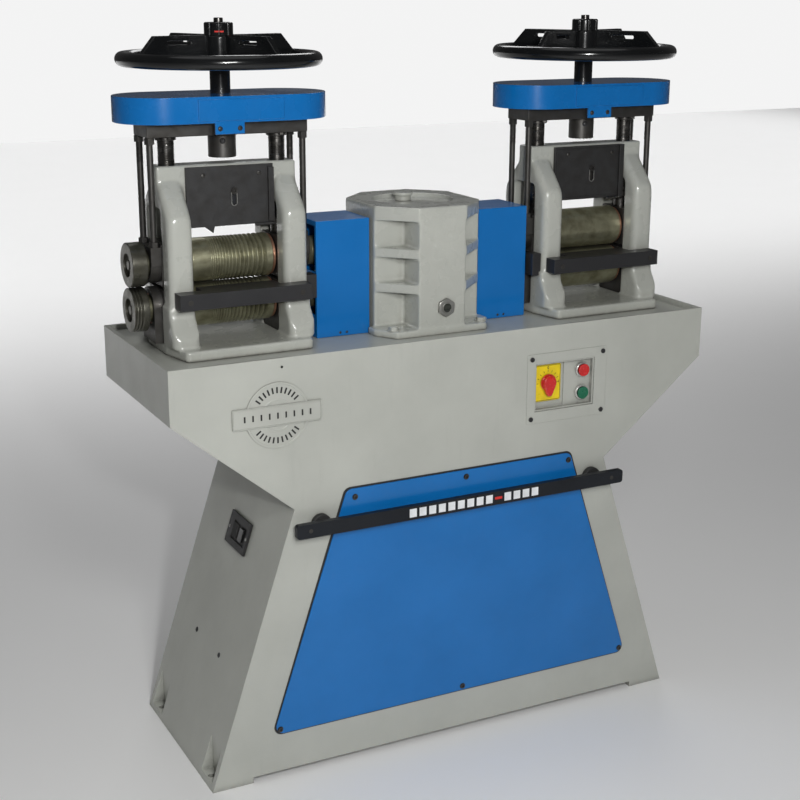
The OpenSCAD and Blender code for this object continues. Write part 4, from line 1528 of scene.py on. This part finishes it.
@dataclass
class PushBar(Assembly):
    """The long push bar under the trough, with its standoffs, its blocks and its red mark."""

    first: float = -0.116
    last: float = 0.162
    blocks: int = 14
    red_block: int = 9
    block_height: float = 0.0172
    red_height: float = 0.0052
    mark_depth: float = 0.0008
    screw_inset: float = 0.028
    screw: Screw = Screw(Head.SOCKET, "dark_steel", 0.0042, 0.0005)

    def build(self) -> None:
        """Makes the bar, its posts and the marks on its face."""
        self.shop.refined("bar_standoffs", "rubber", 0.0022, 4)
        self.shop.refined("emergency_bar", "bar_black", 0.0018, 3)
        bar = Box.of("emergency_bar")
        z, face = bar.middle[2], bar.low.y
        step = (self.last - self.first) / (self.blocks - 1)
        places = [((self.first + k * step, face, z), 0.0) for k in range(self.blocks)]
        red = places.pop(self.red_block)
        white_size, red_size = (step * 0.72, self.block_height), (step * 0.78, self.red_height)
        self.repeats.marks("bar_blocks", places, "mark_white", white_size, self.mark_depth, "push_bar")
        self.repeats.marks("bar_red_mark", [red], "mark_red", red_size, self.mark_depth, "push_bar")
        ends = [((x, face, z), FRONT) for x in (bar.low.x + self.screw_inset, bar.high.x - self.screw_inset)]
        self.repeats.screws("bar_screws", self.screw, ends, "push_bar")


@dataclass
class Controls(Assembly):
    """The switch group: cover plate, switch box, isolator and the two push buttons."""

    cover: tuple[float, float, float, float] = (0.157, 0.347, 0.650, 0.7945)
    cover_rise: float = 0.0011
    opening_room: float = 0.0006
    screw_inset: float = 0.010
    screw: Screw = Screw(Head.SOCKET, "black_satin", 0.0048, 0.0022)
    button_plate: tuple[float, float, float, float] = (0.2500, 0.3160, 0.6760, 0.7720)
    plate_thickness: float = 0.0022
    plate_gap: float = 0.0002
    plunger_room: float = 0.0020
    hole_flat: float = 0.0002
    scale_radius: float = 0.0245
    scale_ticks: int = 9
    zero: Spot = (0.0, 0.0315)
    one: Spot = (0.0265, 0.0)
    digit_height: float = 0.0085
    knob_rise: float = 0.018
    base_radius: float = 0.0178
    base_height: float = 0.0042
    base_let_in: float = 0.0003
    grip_radius: float = 0.0152
    tip_radius: float = 0.0068
    grip_height: float = 0.0110
    grip_let_in: float = 0.0035
    cap_radius: float = 0.0130
    cap_crown: float = 0.0006
    press_room: float = 0.0043

    def build(self) -> None:
        """Makes every piece of the switch group."""
        self._cover()
        self._button_plate()
        self._isolator()
        self._buttons()

    def _cover(self) -> None:
        """The cover plate round the sunk switch box, with its corner screws."""
        front = Box.of("stand_body").low.y
        box = Box.of("control_plate")
        x0, x1, z0, z1 = self.cover
        x, z = (x0 + x1) / 2, (z0 + z1) / 2
        opening = rectangle(
            box.size[0] + self.opening_room, box.size[2] + self.opening_room, 0.0012,
            (box.middle[0] - x, box.middle[2] - z))
        outline = rectangle(x1 - x0, z1 - z0, 0.003)
        place = facing_front(x, front, z)
        cover = cut_sheet("switch_cover", [outline, opening], self.cover_rise, 0.0003, place)
        self.shop.dress(cover, "stand", "sheet_enamel")
        inset, face = self.screw_inset, front - self.cover_rise
        corners = [((x, face, z), FRONT) for x in (x0 + inset, x1 - inset) for z in (z0 + inset, z1 - inset)]
        self.repeats.screws("cover_screws", self.screw, corners)
        self.shop.refined("control_plate", "sheet_enamel", 0.0010, 3)

    def _button_plate(self) -> None:
        """The plate behind the collars, with a hole for each plunger."""
        x0, x1, z0, z1 = self.button_plate
        x, z = (x0 + x1) / 2, (z0 + z1) / 2
        loops = [rectangle(x1 - x0, z1 - z0, 0.0012)]
        for node in ("start_button", "stop_button"):
            plunger = Box.of(node)
            across = plunger.size[0] + self.plunger_room
            middle = (plunger.middle[0] - x, plunger.middle[2] - z)
            loops.append(rectangle(across, across, across / 2 - self.hole_flat / 2, middle))
        back = Box.of("button_collars").high.y + self.plate_gap
        plate = cut_sheet("button_plate", loops, self.plate_thickness, 0.0005, facing_front(x, back, z))
        self.shop.dress(plate, "stand", "sheet_enamel")

    def _isolator(self) -> None:
        """The yellow plate with 0 and 1, its scale ticks and the red turning handle."""
        self.shop.refined("isolator_plate", "yellow_plastic", 0.0009, 3)
        plate, knob = Box.of("isolator_plate"), Box.of("isolator_knob")
        (x, _, z), face = plate.middle, plate.low.y
        marks = []
        for k in range(self.scale_ticks):
            turn = math.pi * k / (self.scale_ticks - 1)
            out, up = (self.scale_radius * f(turn) for f in (math.cos, math.sin))
            marks.append(((x + out, face, z + up), turn))
        self.repeats.marks("isolator_scale", marks, "mark_black", (0.0042, 0.0009), 0.0004)
        for name, digit, (dx, dz) in (("isolator_zero", "0", self.zero), ("isolator_one", "1", self.one)):
            self._digit(name, digit, (x + dx, face, z + dz))
        outlines = [rectangle(0.0590, 0.0730, 0.003), rectangle(0.0574, 0.0714, 0.0025)]
        border = cut_sheet("isolator_border", outlines, 0.0004, 0.0001, facing_front(x, face + LET_IN, z))
        self.shop.dress(border, "stand", "mark_black")
        body, x, z = self.shop.body_of("isolator_knob"), knob.middle[0], knob.high.z - self.knob_rise
        wide, high = self.base_radius, self.base_height
        profile = eased([(0.0, 0.0), (0.0, wide), (high, wide - 0.0006), (high, 0.0)], 0.0010)
        base = lathe("isolator_base", profile, (x, face - self.base_let_in - high, z), Axis.Y, 72)
        self.shop.dress(base, body, "red_plastic", "isolator_knob")
        outline = teardrop(self.grip_radius, self.tip_radius, z - knob.low.z - self.tip_radius)
        seat = facing_front(x, knob.high.y - self.grip_let_in, z)
        grip = cut_sheet("isolator_grip", [outline], self.grip_height, 0.0030, seat)
        self.shop.dress(grip, body, "red_plastic")

    def _digit(self, name: str, digit: str, place: Point) -> None:
        """One figure on the isolator's dial.

        Args:
            name: The piece's name.
            digit: The figure.
            place: Where its middle is.
        """
        curve = bpy.data.curves.new(name, "FONT")
        curve.body, curve.size, curve.extrude = digit, self.digit_height, 0.0002
        curve.align_x, curve.align_y = "CENTER", "CENTER"
        mesh = filled(curve)
        mesh.transform(facing_front(*place))
        self.shop.dress(add_piece(name, mesh), "stand", "mark_black")

    def _buttons(self) -> None:
        """The two push buttons in their bright collars."""
        collars = Box.of("button_collars")
        for node, finish in (("start_button", "green_plastic"), ("stop_button", "red_plastic")):
            button = Box.of(node)
            x, _, z = button.middle
            stem, depth, wide = button.size[0] / 2, button.size[1], self.cap_radius
            rim = collars.low.y - button.low.y - self.press_room
            crown = eased(
                [(0.0, 0.0), (0.0, stem), (depth - rim, stem), (depth - rim, wide),
                 (depth, wide - self.cap_crown), (depth - self.cap_crown, 0.0)], rim * 0.4, 4)
            cap = lathe(f"{node}_cap", [(depth - a, r) for a, r in crown], (x, button.low.y, z), Axis.Y, 72)
            self.shop.dress(cap, self.shop.body_of(node), finish, node)
        self.shop.refined("button_collars", "collar_metal", 0.0016, 4)


# ------------------------------------------------------------------ gearbox tower and guards


@dataclass
class Tower(Assembly):
    """The gearbox casting with its flange bolts, filler plug and oil gauge."""

    bolts: tuple[Spot, ...] = ((0.098, 0.112), (-0.098, 0.112), (0.098, -0.112), (-0.098, -0.112))
    bolt: Screw = Screw(Head.HEX, "cast_enamel", 0.0088, 0.0078, 0.0125)
    flange_height: float = 0.014
    nut_radius: float = 0.0165
    nut_step: float = 0.0012
    glass_radius: float = 0.0088
    oil_drop: float = 0.001

    def build(self) -> None:
        """Makes the casting and what is screwed to it."""
        self.shop.cast("gearbox_tower", 0.0024, 5)
        seat = Box.of("gearbox_tower").low.z + self.flange_height
        self.repeats.screws("flange_bolts", self.bolt, [((x, y, seat), UP) for x, y in self.bolts])
        self.shop.refined("filler_plug", "cast_enamel", 0.0016, 4)
        glass = Box.of("sight_glass")
        (x, _, z), r, face = glass.middle, self.glass_radius, glass.low.y
        height, washer = glass.size[1] - self.nut_step, self.nut_radius * 0.9
        nut = Screw(Head.HEX, "dull_steel", self.nut_radius, height, washer)
        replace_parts(self.repeats.screws("sight_nut", nut, [((x, glass.high.y, z), FRONT)]), "sight_glass")
        self.shop.finishes.add(OilGlass("oil_glass", "", z - self.oil_drop))
        profile = eased(
            [(-0.0003, r), (-0.0012, r + 0.0002), (-0.0012, r + 0.0020), (0.0004, r + 0.0024), (0.0004, r)],
            0.0004)
        rim = lathe("sight_rim", profile, (x, face + self.nut_step, z), Axis.Y, 64, True)
        self.shop.dress(rim, "stand", "dull_steel")
        edge = r + 0.0004
        profile = eased([(0.0, 0.0), (0.0001, r * 0.6), (0.0005, edge), (0.002, edge), (0.002, 0.0)], 0.0002)
        window = lathe("oil_window", profile, (x, face + 0.0004, z), Axis.Y, 48)
        self.shop.dress(window, "stand", "oil_glass")


@dataclass
class Guard(SideAssembly):
    """A blue sheet guard over the couplings on one side of the tower."""

    screw: Screw = Screw(Head.SLOTTED, "black_satin", 0.0026, 0.0012)
    screw_half: float = 0.007
    screw_rise: float = 0.007

    def build(self) -> None:
        """Makes the guard and the two screws near its lower edge."""
        self.shop.refined(self.side.node("guard"), "blue_enamel", 0.0013, 3)
        box = self.box("guard")
        spots = [
            ((box.middle[0] + dx, box.low.y, box.low.z + self.screw_rise), FRONT)
            for dx in (-self.screw_half, self.screw_half)
        ]
        self.repeats.screws(self.side.node("guard_screws"), self.screw, spots)


# ------------------------------------------------------------------ roll heads


@dataclass
class RollHead(SideAssembly):
    """One head: the cast housing with its chocks, bushes, rolls, feed table and front plate."""

    shoulder_reach: float = 0.026
    leg_front: float = 0.082
    slope_foot: float = 0.088
    flare_height: float = 0.075
    flare_from: float = 0.06
    plate_face: float = -0.031
    plate_thickness: float = 0.006
    plate_foot: float = 1.070
    plate_screws: tuple[Spot, ...] = ((-0.050, 1.165), (0.060, 1.165))
    plate_screw: Screw = Screw(Head.SLOTTED, "dark_steel", 0.0042, 0.0016)
    border_insets: Spot = (0.010, 0.013)
    strip_width: float = 0.011
    pin_length: float = 0.038
    keyhole: Spot = (0.010, 1.134)
    slot_drop: float = 0.011
    slot_size: tuple[float, float, float] = (0.009, 0.031, 0.0044)
    slot_bolt: Screw = Screw(Head.SOCKET, "dark_turned", 0.0066, 0.0042)
    table_bolt: Screw = Screw(Head.SOCKET, "dark_steel", 0.0050, 0.0008)
    table_inset: float = 0.020

    @property
    def x(self) -> float:
        """The middle of the head along the machine."""
        return self.box("housing").middle[0]

    def shoulder(self) -> Callable[[Vector], float]:
        """Where the casting is softened once more.

        Returns:
            A function that says how much a point belongs to a leg's rounded shoulder or flare.
        """
        housing = self.box("housing")
        top, foot = housing.high.z - self.slope_foot, housing.low.z + self.flare_height

        def weight(point: Vector) -> float:
            """0 away from the shoulder and from the foot's flare, 1 in the middle of each."""
            away = math.hypot(abs(point.y) - self.leg_front, point.z - top)
            flare = abs(point.z - foot) if abs(point.y) > self.flare_from else self.shoulder_reach
            return max(0.0, 1.0 - min(away, flare) / self.shoulder_reach)

        return weight

    def build(self) -> None:
        """Makes the whole head."""
        node = self.side.node
        self.shop.cast(node("housing"), 0.0026, 7, self.shoulder())
        self._front_plate()
        self._plate_fittings()
        self._feed_table()
        parts = [
            ("lower_chocks", "dark_steel", 0.0010, 2), ("upper_chocks", "dark_steel", 0.0010, 2),
            ("lower_bushes", "bronze", 0.0006, 2), ("upper_bushes", "bronze", 0.0006, 2),
            ("upper_roll", "roll_steel", 0.0004, 2), ("lower_roll", "roll_steel", 0.0004, 2),
        ]
        if self.side is Side.LEFT:
            parts += [("upper_disc", "disc_steel", 0.0008, 3), ("lower_disc", "disc_steel", 0.0008, 3)]
        for stem, finish, ease, segments in parts:
            self.shop.refined(node(stem), finish, ease, segments)

    def _front_plate(self) -> None:
        """The dark plate. The right head's has its own outline, border, strip and pin."""
        node = self.side.node("front_plate")
        if self.side is Side.LEFT:
            self.shop.refined(node, "plate_steel", 0.0009, 2)
        else:
            self._right_plate(node)

    def _right_plate(self, node: str) -> None:
        """The right head's plate, which has no tip below.

        Args:
            node: The CAD node that it stands for.
        """
        box = Box.of(node)
        face, foot, right = self.plate_face, self.plate_foot, box.high.x
        width, height = box.size[0], box.high.z - foot
        middle_z, lift = (box.high.z + foot) / 2, self.keyhole[1] - self.slot_drop
        offset = (box.middle[0] - self.x, middle_z - lift)
        loops = [rectangle(width, height, 0.002, offset), rectangle(*self.slot_size, (self.keyhole[0], 0.0))]
        place = facing_front(self.x, face + self.plate_thickness, lift)
        plate = cut_sheet("plate_right", loops, self.plate_thickness, 0.0009, place)
        self.shop.dress(plate, "stand", "plate_steel", node)
        border = [rectangle(width - a, height - a, 0.001, offset) for a in self.border_insets]
        place = facing_front(self.x, face + 2 * LET_IN, lift)
        raised = cut_sheet("plate_border_right", border, 0.0012, 0.0004, place)
        self.shop.dress(raised, "stand", "plate_steel")
        outline = rectangle(self.strip_width, height, 0.001)
        place = facing_front(right - self.strip_width / 2, face + LET_IN, middle_z)
        strip = cut_sheet("plate_strip_right", [outline], 0.005, 0.0007, place)
        self.shop.dress(strip, "stand", "plate_steel")
        profile = rod_profile(0.0, self.pin_length, 0.003, 0.0006)
        pin = lathe("plate_pin_right", profile, (right - self.pin_length, -0.033, foot - 0.001), Axis.X, 32)
        self.shop.dress(pin, "stand", "dark_turned")

    def _plate_fittings(self) -> None:
        """The plate's screws, and its keyhole: a dark sheet behind the slot for its painted shade, a bright
        rim and the bolt at its top.
        """
        x, bolt_z = self.x + self.keyhole[0], self.keyhole[1]
        z, face = bolt_z - self.slot_drop, self.plate_face
        # A dark sheet behind the slot: painted shade for the inside of the keyhole.
        place = facing_front(x, face + self.plate_thickness - 0.0004, z)
        shade_backing = cut_sheet(
            self.side.node("keyhole_backing"), [rectangle(0.018, 0.040, 0.003)], 0.0009, 0.0002, place)
        self.shop.dress(shade_backing, "stand", "bar_black" if self.side is Side.LEFT else "dark_steel")
        seats = [((self.x + x, face, z), FRONT) for x, z in self.plate_screws]
        self.repeats.screws(self.side.node("plate_screws"), self.plate_screw, seats)
        loops = [rectangle(0.0125, 0.0345, 0.0062), rectangle(*self.slot_size)]
        place = facing_front(x, face + LET_IN, z)
        rim = cut_sheet(self.side.node("keyhole_rim"), loops, 0.0006, 0.00015, place)
        self.shop.dress(rim, "stand", "bright_steel")
        seat = ((x, face + 0.002, bolt_z), FRONT)
        self.repeats.screws(self.side.node("keyhole_bolt"), self.slot_bolt, [seat])

    def _feed_table(self) -> None:
        """The feed table with the bolts through its bar."""
        self.shop.refined(self.side.node("feed_table"), "black_satin", 0.0012, 3)
        table, inset = self.box("feed_table"), self.table_inset
        y, z = table.low.y, table.middle[2]
        seats = [((x, y, z), FRONT) for x in (table.low.x + inset, table.high.x - inset)]
        self.repeats.screws(self.side.node("table_bolts"), self.table_bolt, seats)


# ------------------------------------------------------------------ screw-down


@dataclass
class ScrewDown(SideAssembly):
    """Crosshead, gear cover, pressure screws and hanger rods of one head."""

    tab_screw: Screw = Screw(Head.SLOTTED, "black_satin", 0.0046, 0.0022)
    tab_half: float = 0.019
    tab_shift: float = -0.015
    tab_rise: float = 0.010
    tab_depth: float = 0.002
    boss_screw: Screw = Screw(Head.SLOTTED, "black_satin", 0.0056, 0.0036)
    boss_radius: float = 0.0252
    boss_rise: float = 0.031
    boss_turn: float = math.radians(-107)
    flange_bolt: Screw = Screw(Head.HEX, "dark_turned", 0.0050, 0.0050)
    flange_half: float = 0.027
    flange_drop: float = 0.026
    screw_inset: float = 0.0195
    screw_thread: Thread = Thread("dark_turned", 0.0150, 0.003, 0.041)
    rod_inset: float = 0.0095
    rod_thread: Thread = Thread("dark_steel", 0.0060, 0.0016, 0.036)
    thread_drop: float = 0.050

    def build(self) -> None:
        """Makes everything that rises and sinks with the upper roll."""
        for stem, finish, ease, segments in (
            ("crosshead", "dark_steel", 0.0012, 3), ("gear_cover", "blue_gloss", 0.0034, 5),
            ("pressure_screws", "dark_turned", 0.0008, 3), ("hanger_rods", "dark_steel", 0.0006, 2),
        ):
            self.shop.refined(self.side.node(stem), finish, ease, segments)
        self._screw_heads()
        self._threads()

    @property
    def body(self) -> str:
        """The CAD body that all of it moves with."""
        return self.shop.body_of(self.side.node("crosshead"))

    def _pair(self) -> tuple[float, float]:
        """Where the two pressure screws stand along the machine."""
        middle = self.box("crosshead").middle[0]
        reach = self.box("pressure_screws").size[0] / 2 - self.screw_inset
        return middle - reach, middle + reach

    def _screw_heads(self) -> None:
        """The cover's tab screws, the boss's set-screw and the flange bolts."""
        node, cover, head = self.side.node, self.box("gear_cover"), self.box("crosshead")
        middle, y, z = head.middle[0], cover.low.y + self.tab_depth, cover.low.z + self.tab_rise
        tab_x = middle + self.tab_shift
        tabs = [((tab_x + dx, y, z), FRONT) for dx in (-self.tab_half, self.tab_half)]
        self.repeats.screws(node("tab_screws"), self.tab_screw, tabs, self.body)
        out = (math.cos(self.boss_turn), math.sin(self.boss_turn), 0.0)
        boss = (middle + self.boss_radius * out[0], self.boss_radius * out[1], head.low.z + self.boss_rise)
        self.repeats.screws(node("boss_screw"), self.boss_screw, [(boss, out)], self.body)
        seat = head.high.z - self.flange_drop
        bolts = [((x, y, seat), DOWN) for x in self._pair() for y in (-self.flange_half, self.flange_half)]
        self.repeats.screws(node("flange_bolts"), self.flange_bolt, bolts, self.body)

    def _threads(self) -> None:
        """The threads on the pressure screws and on the hanger rods."""
        node, rods, inset = self.side.node, self.box("hanger_rods"), self.rod_inset
        lift = self.box("pressure_screws").high.z - self.thread_drop
        feet = [((x, 0.0, lift), UP) for x in self._pair()]
        self.repeats.thread(node("screw_threads"), self.screw_thread, feet, self.body)
        lift = rods.high.z - self.thread_drop
        xs = (rods.low.x + inset, rods.high.x - inset)
        ys = (rods.low.y + inset, rods.high.y - inset)
        feet = [((x, y, lift), UP) for x in xs for y in ys]
        self.repeats.thread(node("rod_threads"), self.rod_thread, feet, self.body)


@dataclass
class Handwheel(SideAssembly):
    """A glossy black wheel: round rim, slotted flat-topped arms, hub, fluted collar, stud and shaft."""

    pattern: Pattern
    turn: float
    rim_radius: float = 0.176
    rim_section: float = 0.013
    arms: int = 4
    arm_thickness: float = 0.012
    arm_rise: float = 0.042
    web: float = 0.036
    rise: float = 0.062
    hub_radius: float = 0.030
    collar_radius: float = 0.0265
    collar_let_in: float = 0.003
    collar_steps: int = 240
    flutes: int = 10
    flute_depth: float = 0.0022
    flute_from: float = 0.35
    stud_radius: float = 0.0085
    stud_rise: float = 0.008
    shaft_radius: float = 0.0147
    sleeve_radius: float = 0.0187
    sleeve_drop: float = 0.020
    red_marks: tuple[float, float] = (-0.5, -0.15)
    mark_proud: float = 0.0001
    mark_rise: float = 0.006

    def arm(self) -> bpy.types.Mesh:
        """One arm along +X, with the slot through its web."""
        flat, rim, top = self.rim_radius - 0.033, self.rim_radius, self.arm_rise
        outline = [(0.0, top - self.web), (rim - 0.040, top - self.web), (rim - 0.020, -0.002), (rim, -0.006),
                   (rim, 0.008), (flat, top), (0.0, top)]
        slot = rectangle(0.050, 0.0068, 0.003, (0.092, top - 0.0125))
        place = facing_front(0.0, self.arm_thickness / 2, 0.0)
        blank = cut_sheet("arm", [outline, slot], self.arm_thickness, 0.0016, place)
        mesh = blank.data
        bpy.data.objects.remove(blank)
        return mesh

    def collar_outline(self) -> list[Spot]:
        """The collar's round outline with its flutes."""
        outline = []
        for k in range(self.collar_steps):
            turn = 2 * math.pi * k / self.collar_steps
            wave = max(0.0, (math.cos(turn * self.flutes) - self.flute_from) / (1.0 - self.flute_from))
            radius = self.collar_radius - self.flute_depth * wave ** 0.5
            outline.append((radius * math.cos(turn), radius * math.sin(turn)))
        return outline

    def build(self) -> None:
        """Makes the wheel, its hub, collar and stud, its shaft and the left one's red mark."""
        node = self.side.node("handwheel")
        body, box = self.shop.body_of(node), Box.of(node)
        cover_top = self.box("gear_cover").high.z
        x, z = box.middle[0], cover_top + self.rise
        top, collar_top = z + self.arm_rise, box.high.z - self.stud_rise
        self.repeats.grow(
            self.side.node("wheel_rim_and_arms"), self.pattern, self.arm(), body, "black_gloss", (node,),
            rim_radius=self.rim_radius, rim_section=self.rim_section, arms=self.arms, turn=self.turn,
            x=x, y=0.0, z=z)
        hub = rod_profile(z - 0.012, top - 0.002, self.hub_radius, 0.003, 4)
        self._turned("wheel_hub", hub, "black_gloss")
        sunk = self.collar_let_in
        collar = cut_sheet(
            self.side.node("wheel_collar"), [self.collar_outline()], collar_top - top + sunk, 0.0030,
            Matrix.Translation((x, 0, top - sunk)))
        self.shop.dress(collar, body, "black_gloss")
        stud = rod_profile(collar_top - 0.001, box.high.z, self.stud_radius, 0.0015, 4)
        self._turned("wheel_stud", stud, "dark_turned", 48)
        step, thin, thick = cover_top - self.sleeve_drop, self.shaft_radius, self.sleeve_radius
        foot = box.low.z
        shaft = [(foot, 0.0), (foot, thin), (step, thin), (step, thick), (z, thick), (z, 0.0)]
        self._turned("wheel_shaft", eased(shaft, 0.0012), "black_gloss")
        if self.side is Side.LEFT:
            reach, high = self.collar_radius + self.mark_proud, top + self.mark_rise
            places = [((x + reach * math.sin(a), -reach * math.cos(a), high), 0.0) for a in self.red_marks]
            self.repeats.marks("collar_red_mark", places, "mark_red", (0.0075, 0.0026), 0.0014, body)

    def _turned(self, stem: str, profile: Outline, finish: str, steps: int = 96) -> None:
        """One round piece on the wheel's axis.

        Args:
            stem: The piece's name without its side.
            profile: Heights with the radius at each.
            finish: The finish's name.
            steps: How many facets it has all round.
        """
        node = self.side.node("handwheel")
        piece = lathe(self.side.node(stem), profile, (Box.of(node).middle[0], 0, 0), Axis.Z, steps)
        self.shop.dress(piece, self.shop.body_of(node), finish)


# ------------------------------------------------------------------ studio


@dataclass
class Studio:
    """Camera, lights, sky and floor."""

    eye: Point = (-1.3290, -2.5337, 1.4974)
    yaw: float = 0.4712
    pitch: float = -0.2775
    roll: float = 0.0025
    lens: float = 64.26
    shift: Spot = (0.0065, -0.0067)
    floor_half: float = 12.0
    floor_colour: Colour = (0.92, 0.92, 0.92)

    def camera(self) -> None:
        """Stands the camera where the machine is seen from its front left."""
        data = bpy.data.cameras.new("camera")
        data.lens, data.sensor_width = self.lens, 36.0
        data.shift_x, data.shift_y = self.shift
        data.clip_end = 50.0
        camera = add_piece("camera", data)
        turn = Matrix.Rotation(-self.yaw, 4, "Z") @ Matrix.Rotation(math.pi / 2 + self.pitch, 4, "X")
        camera.matrix_world = Matrix.Translation(self.eye) @ turn @ Matrix.Rotation(self.roll, 4, "Z")
        bpy.context.scene.camera = camera

    def area(
        self, name: str, place: Point, aim: Point, size: float, watts: float,
        colour: Colour = (1, 1, 1), beam: float = math.pi,
    ) -> None:
        """Hangs one square soft light.

        Args:
            name: The light's name.
            place: Where it hangs.
            aim: What it points at.
            size: How wide it is.
            watts: How strong it is.
            colour: Its colour.
            beam: How widely it throws, in radians.
        """
        data = bpy.data.lights.new(name, "AREA")
        data.size, data.energy, data.color, data.spread = size, watts, colour, beam
        light = add_piece(name, data)
        light.location = place
        light.rotation_euler = (Vector(aim) - Vector(place)).to_track_quat("-Z", "Y").to_euler()

    def sky(self, strength: float, seen: float) -> None:
        """An even sky, weak as a lamp and pale to look at.

        Args:
            strength: How much light it gives.
            seen: How bright it looks behind the machine.
        """
        world = bpy.data.worlds.new("sky")
        world.use_nodes = True
        bpy.context.scene.world = world
        nodes = Nodes(world.node_tree)
        white = (1.0, 1.0, 1.0, 1.0)
        lamp = nodes.add("ShaderNodeBackground", {"Color": white, "Strength": strength})
        backdrop = nodes.add("ShaderNodeBackground", {"Color": white, "Strength": seen})
        path = nodes.add("ShaderNodeLightPath").outputs["Is Camera Ray"]
        both = nodes.add("ShaderNodeMixShader", {0: path, 1: lamp, 2: backdrop})
        nodes.feed(nodes.tree.nodes["World Output"].inputs["Surface"], both)

    def overhead(self, strength: float, spread: float) -> None:
        """A wide soft light from straight above, for the floor and the tops.

        Args:
            strength: How strong it is.
            spread: How wide it looks, in radians.
        """
        data = bpy.data.lights.new("overhead", "SUN")
        data.energy, data.angle = strength, spread
        add_piece("overhead", data)

    def floor(self) -> None:
        """A large pale floor."""
        mesh = bpy.data.meshes.new("floor")
        half = self.floor_half
        corners = [(x * half, y * half, 0) for x, y in ((-1, -1), (1, -1), (1, 1), (-1, 1))]
        mesh.from_pydata(corners, [], [(0, 1, 2, 3)])
        mesh.materials.append(Floor("floor_paper", "", self.floor_colour).build())
        add_piece("floor", mesh)

    def light(self) -> None:
        """Hangs the lights and lays the floor."""
        bpy.context.scene.view_settings.view_transform = "Standard"
        self.area("key", (-0.64, -2.00, 1.75), (-0.1, 0.0, 0.75), 0.34, 15.0, (1.0, 1.0, 0.98))
        self.area("flash", (-1.02, -2.52, 1.62), (-0.1, 0.0, 0.85), 0.12, 28.0)
        self.area("back", (1.1, 2.4, 3.0), (0.0, 0.0, 0.8), 1.2, 14.0)
        self.area("wash", (4.0, 11.0, 5.0), (4.0, 11.0, 0.0), 16.0, 640.0, beam=1.0)
        self.overhead(0.45, 1.0)
        self.sky(0.06, 0.90)
        self.floor()


def main() -> None:
    """Builds the machine's looks piece by piece."""
    logging.basicConfig(level=logging.INFO, format="%(name)s: %(message)s")
    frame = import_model()
    studio = Studio()
    studio.camera()
    shop = Workshop(frame)
    repeats = Repeats(shop)
    stand = Stand(shop, repeats)
    stand.build()
    for kind in (Badge, FrontPanel):
        kind(shop, repeats).build()
    PowerInlet(shop, repeats, stand).build()
    for kind in (PushBar, Controls, Tower):
        kind(shop, repeats).build()
    wheels = spoke_pattern()
    for side, turn in ((Side.LEFT, math.radians(17)), (Side.RIGHT, math.radians(25))):
        for kind in (Guard, RollHead, ScrewDown):
            kind(shop, repeats, side).build()
        Handwheel(shop, repeats, side, wheels, turn).build()
    shop.refined("guard_brackets", "black_satin", 0.0012, 3)
    studio.light()
    LOG.info("%d pieces dressed", shop.made)


if __name__ == "__main__":
    main()
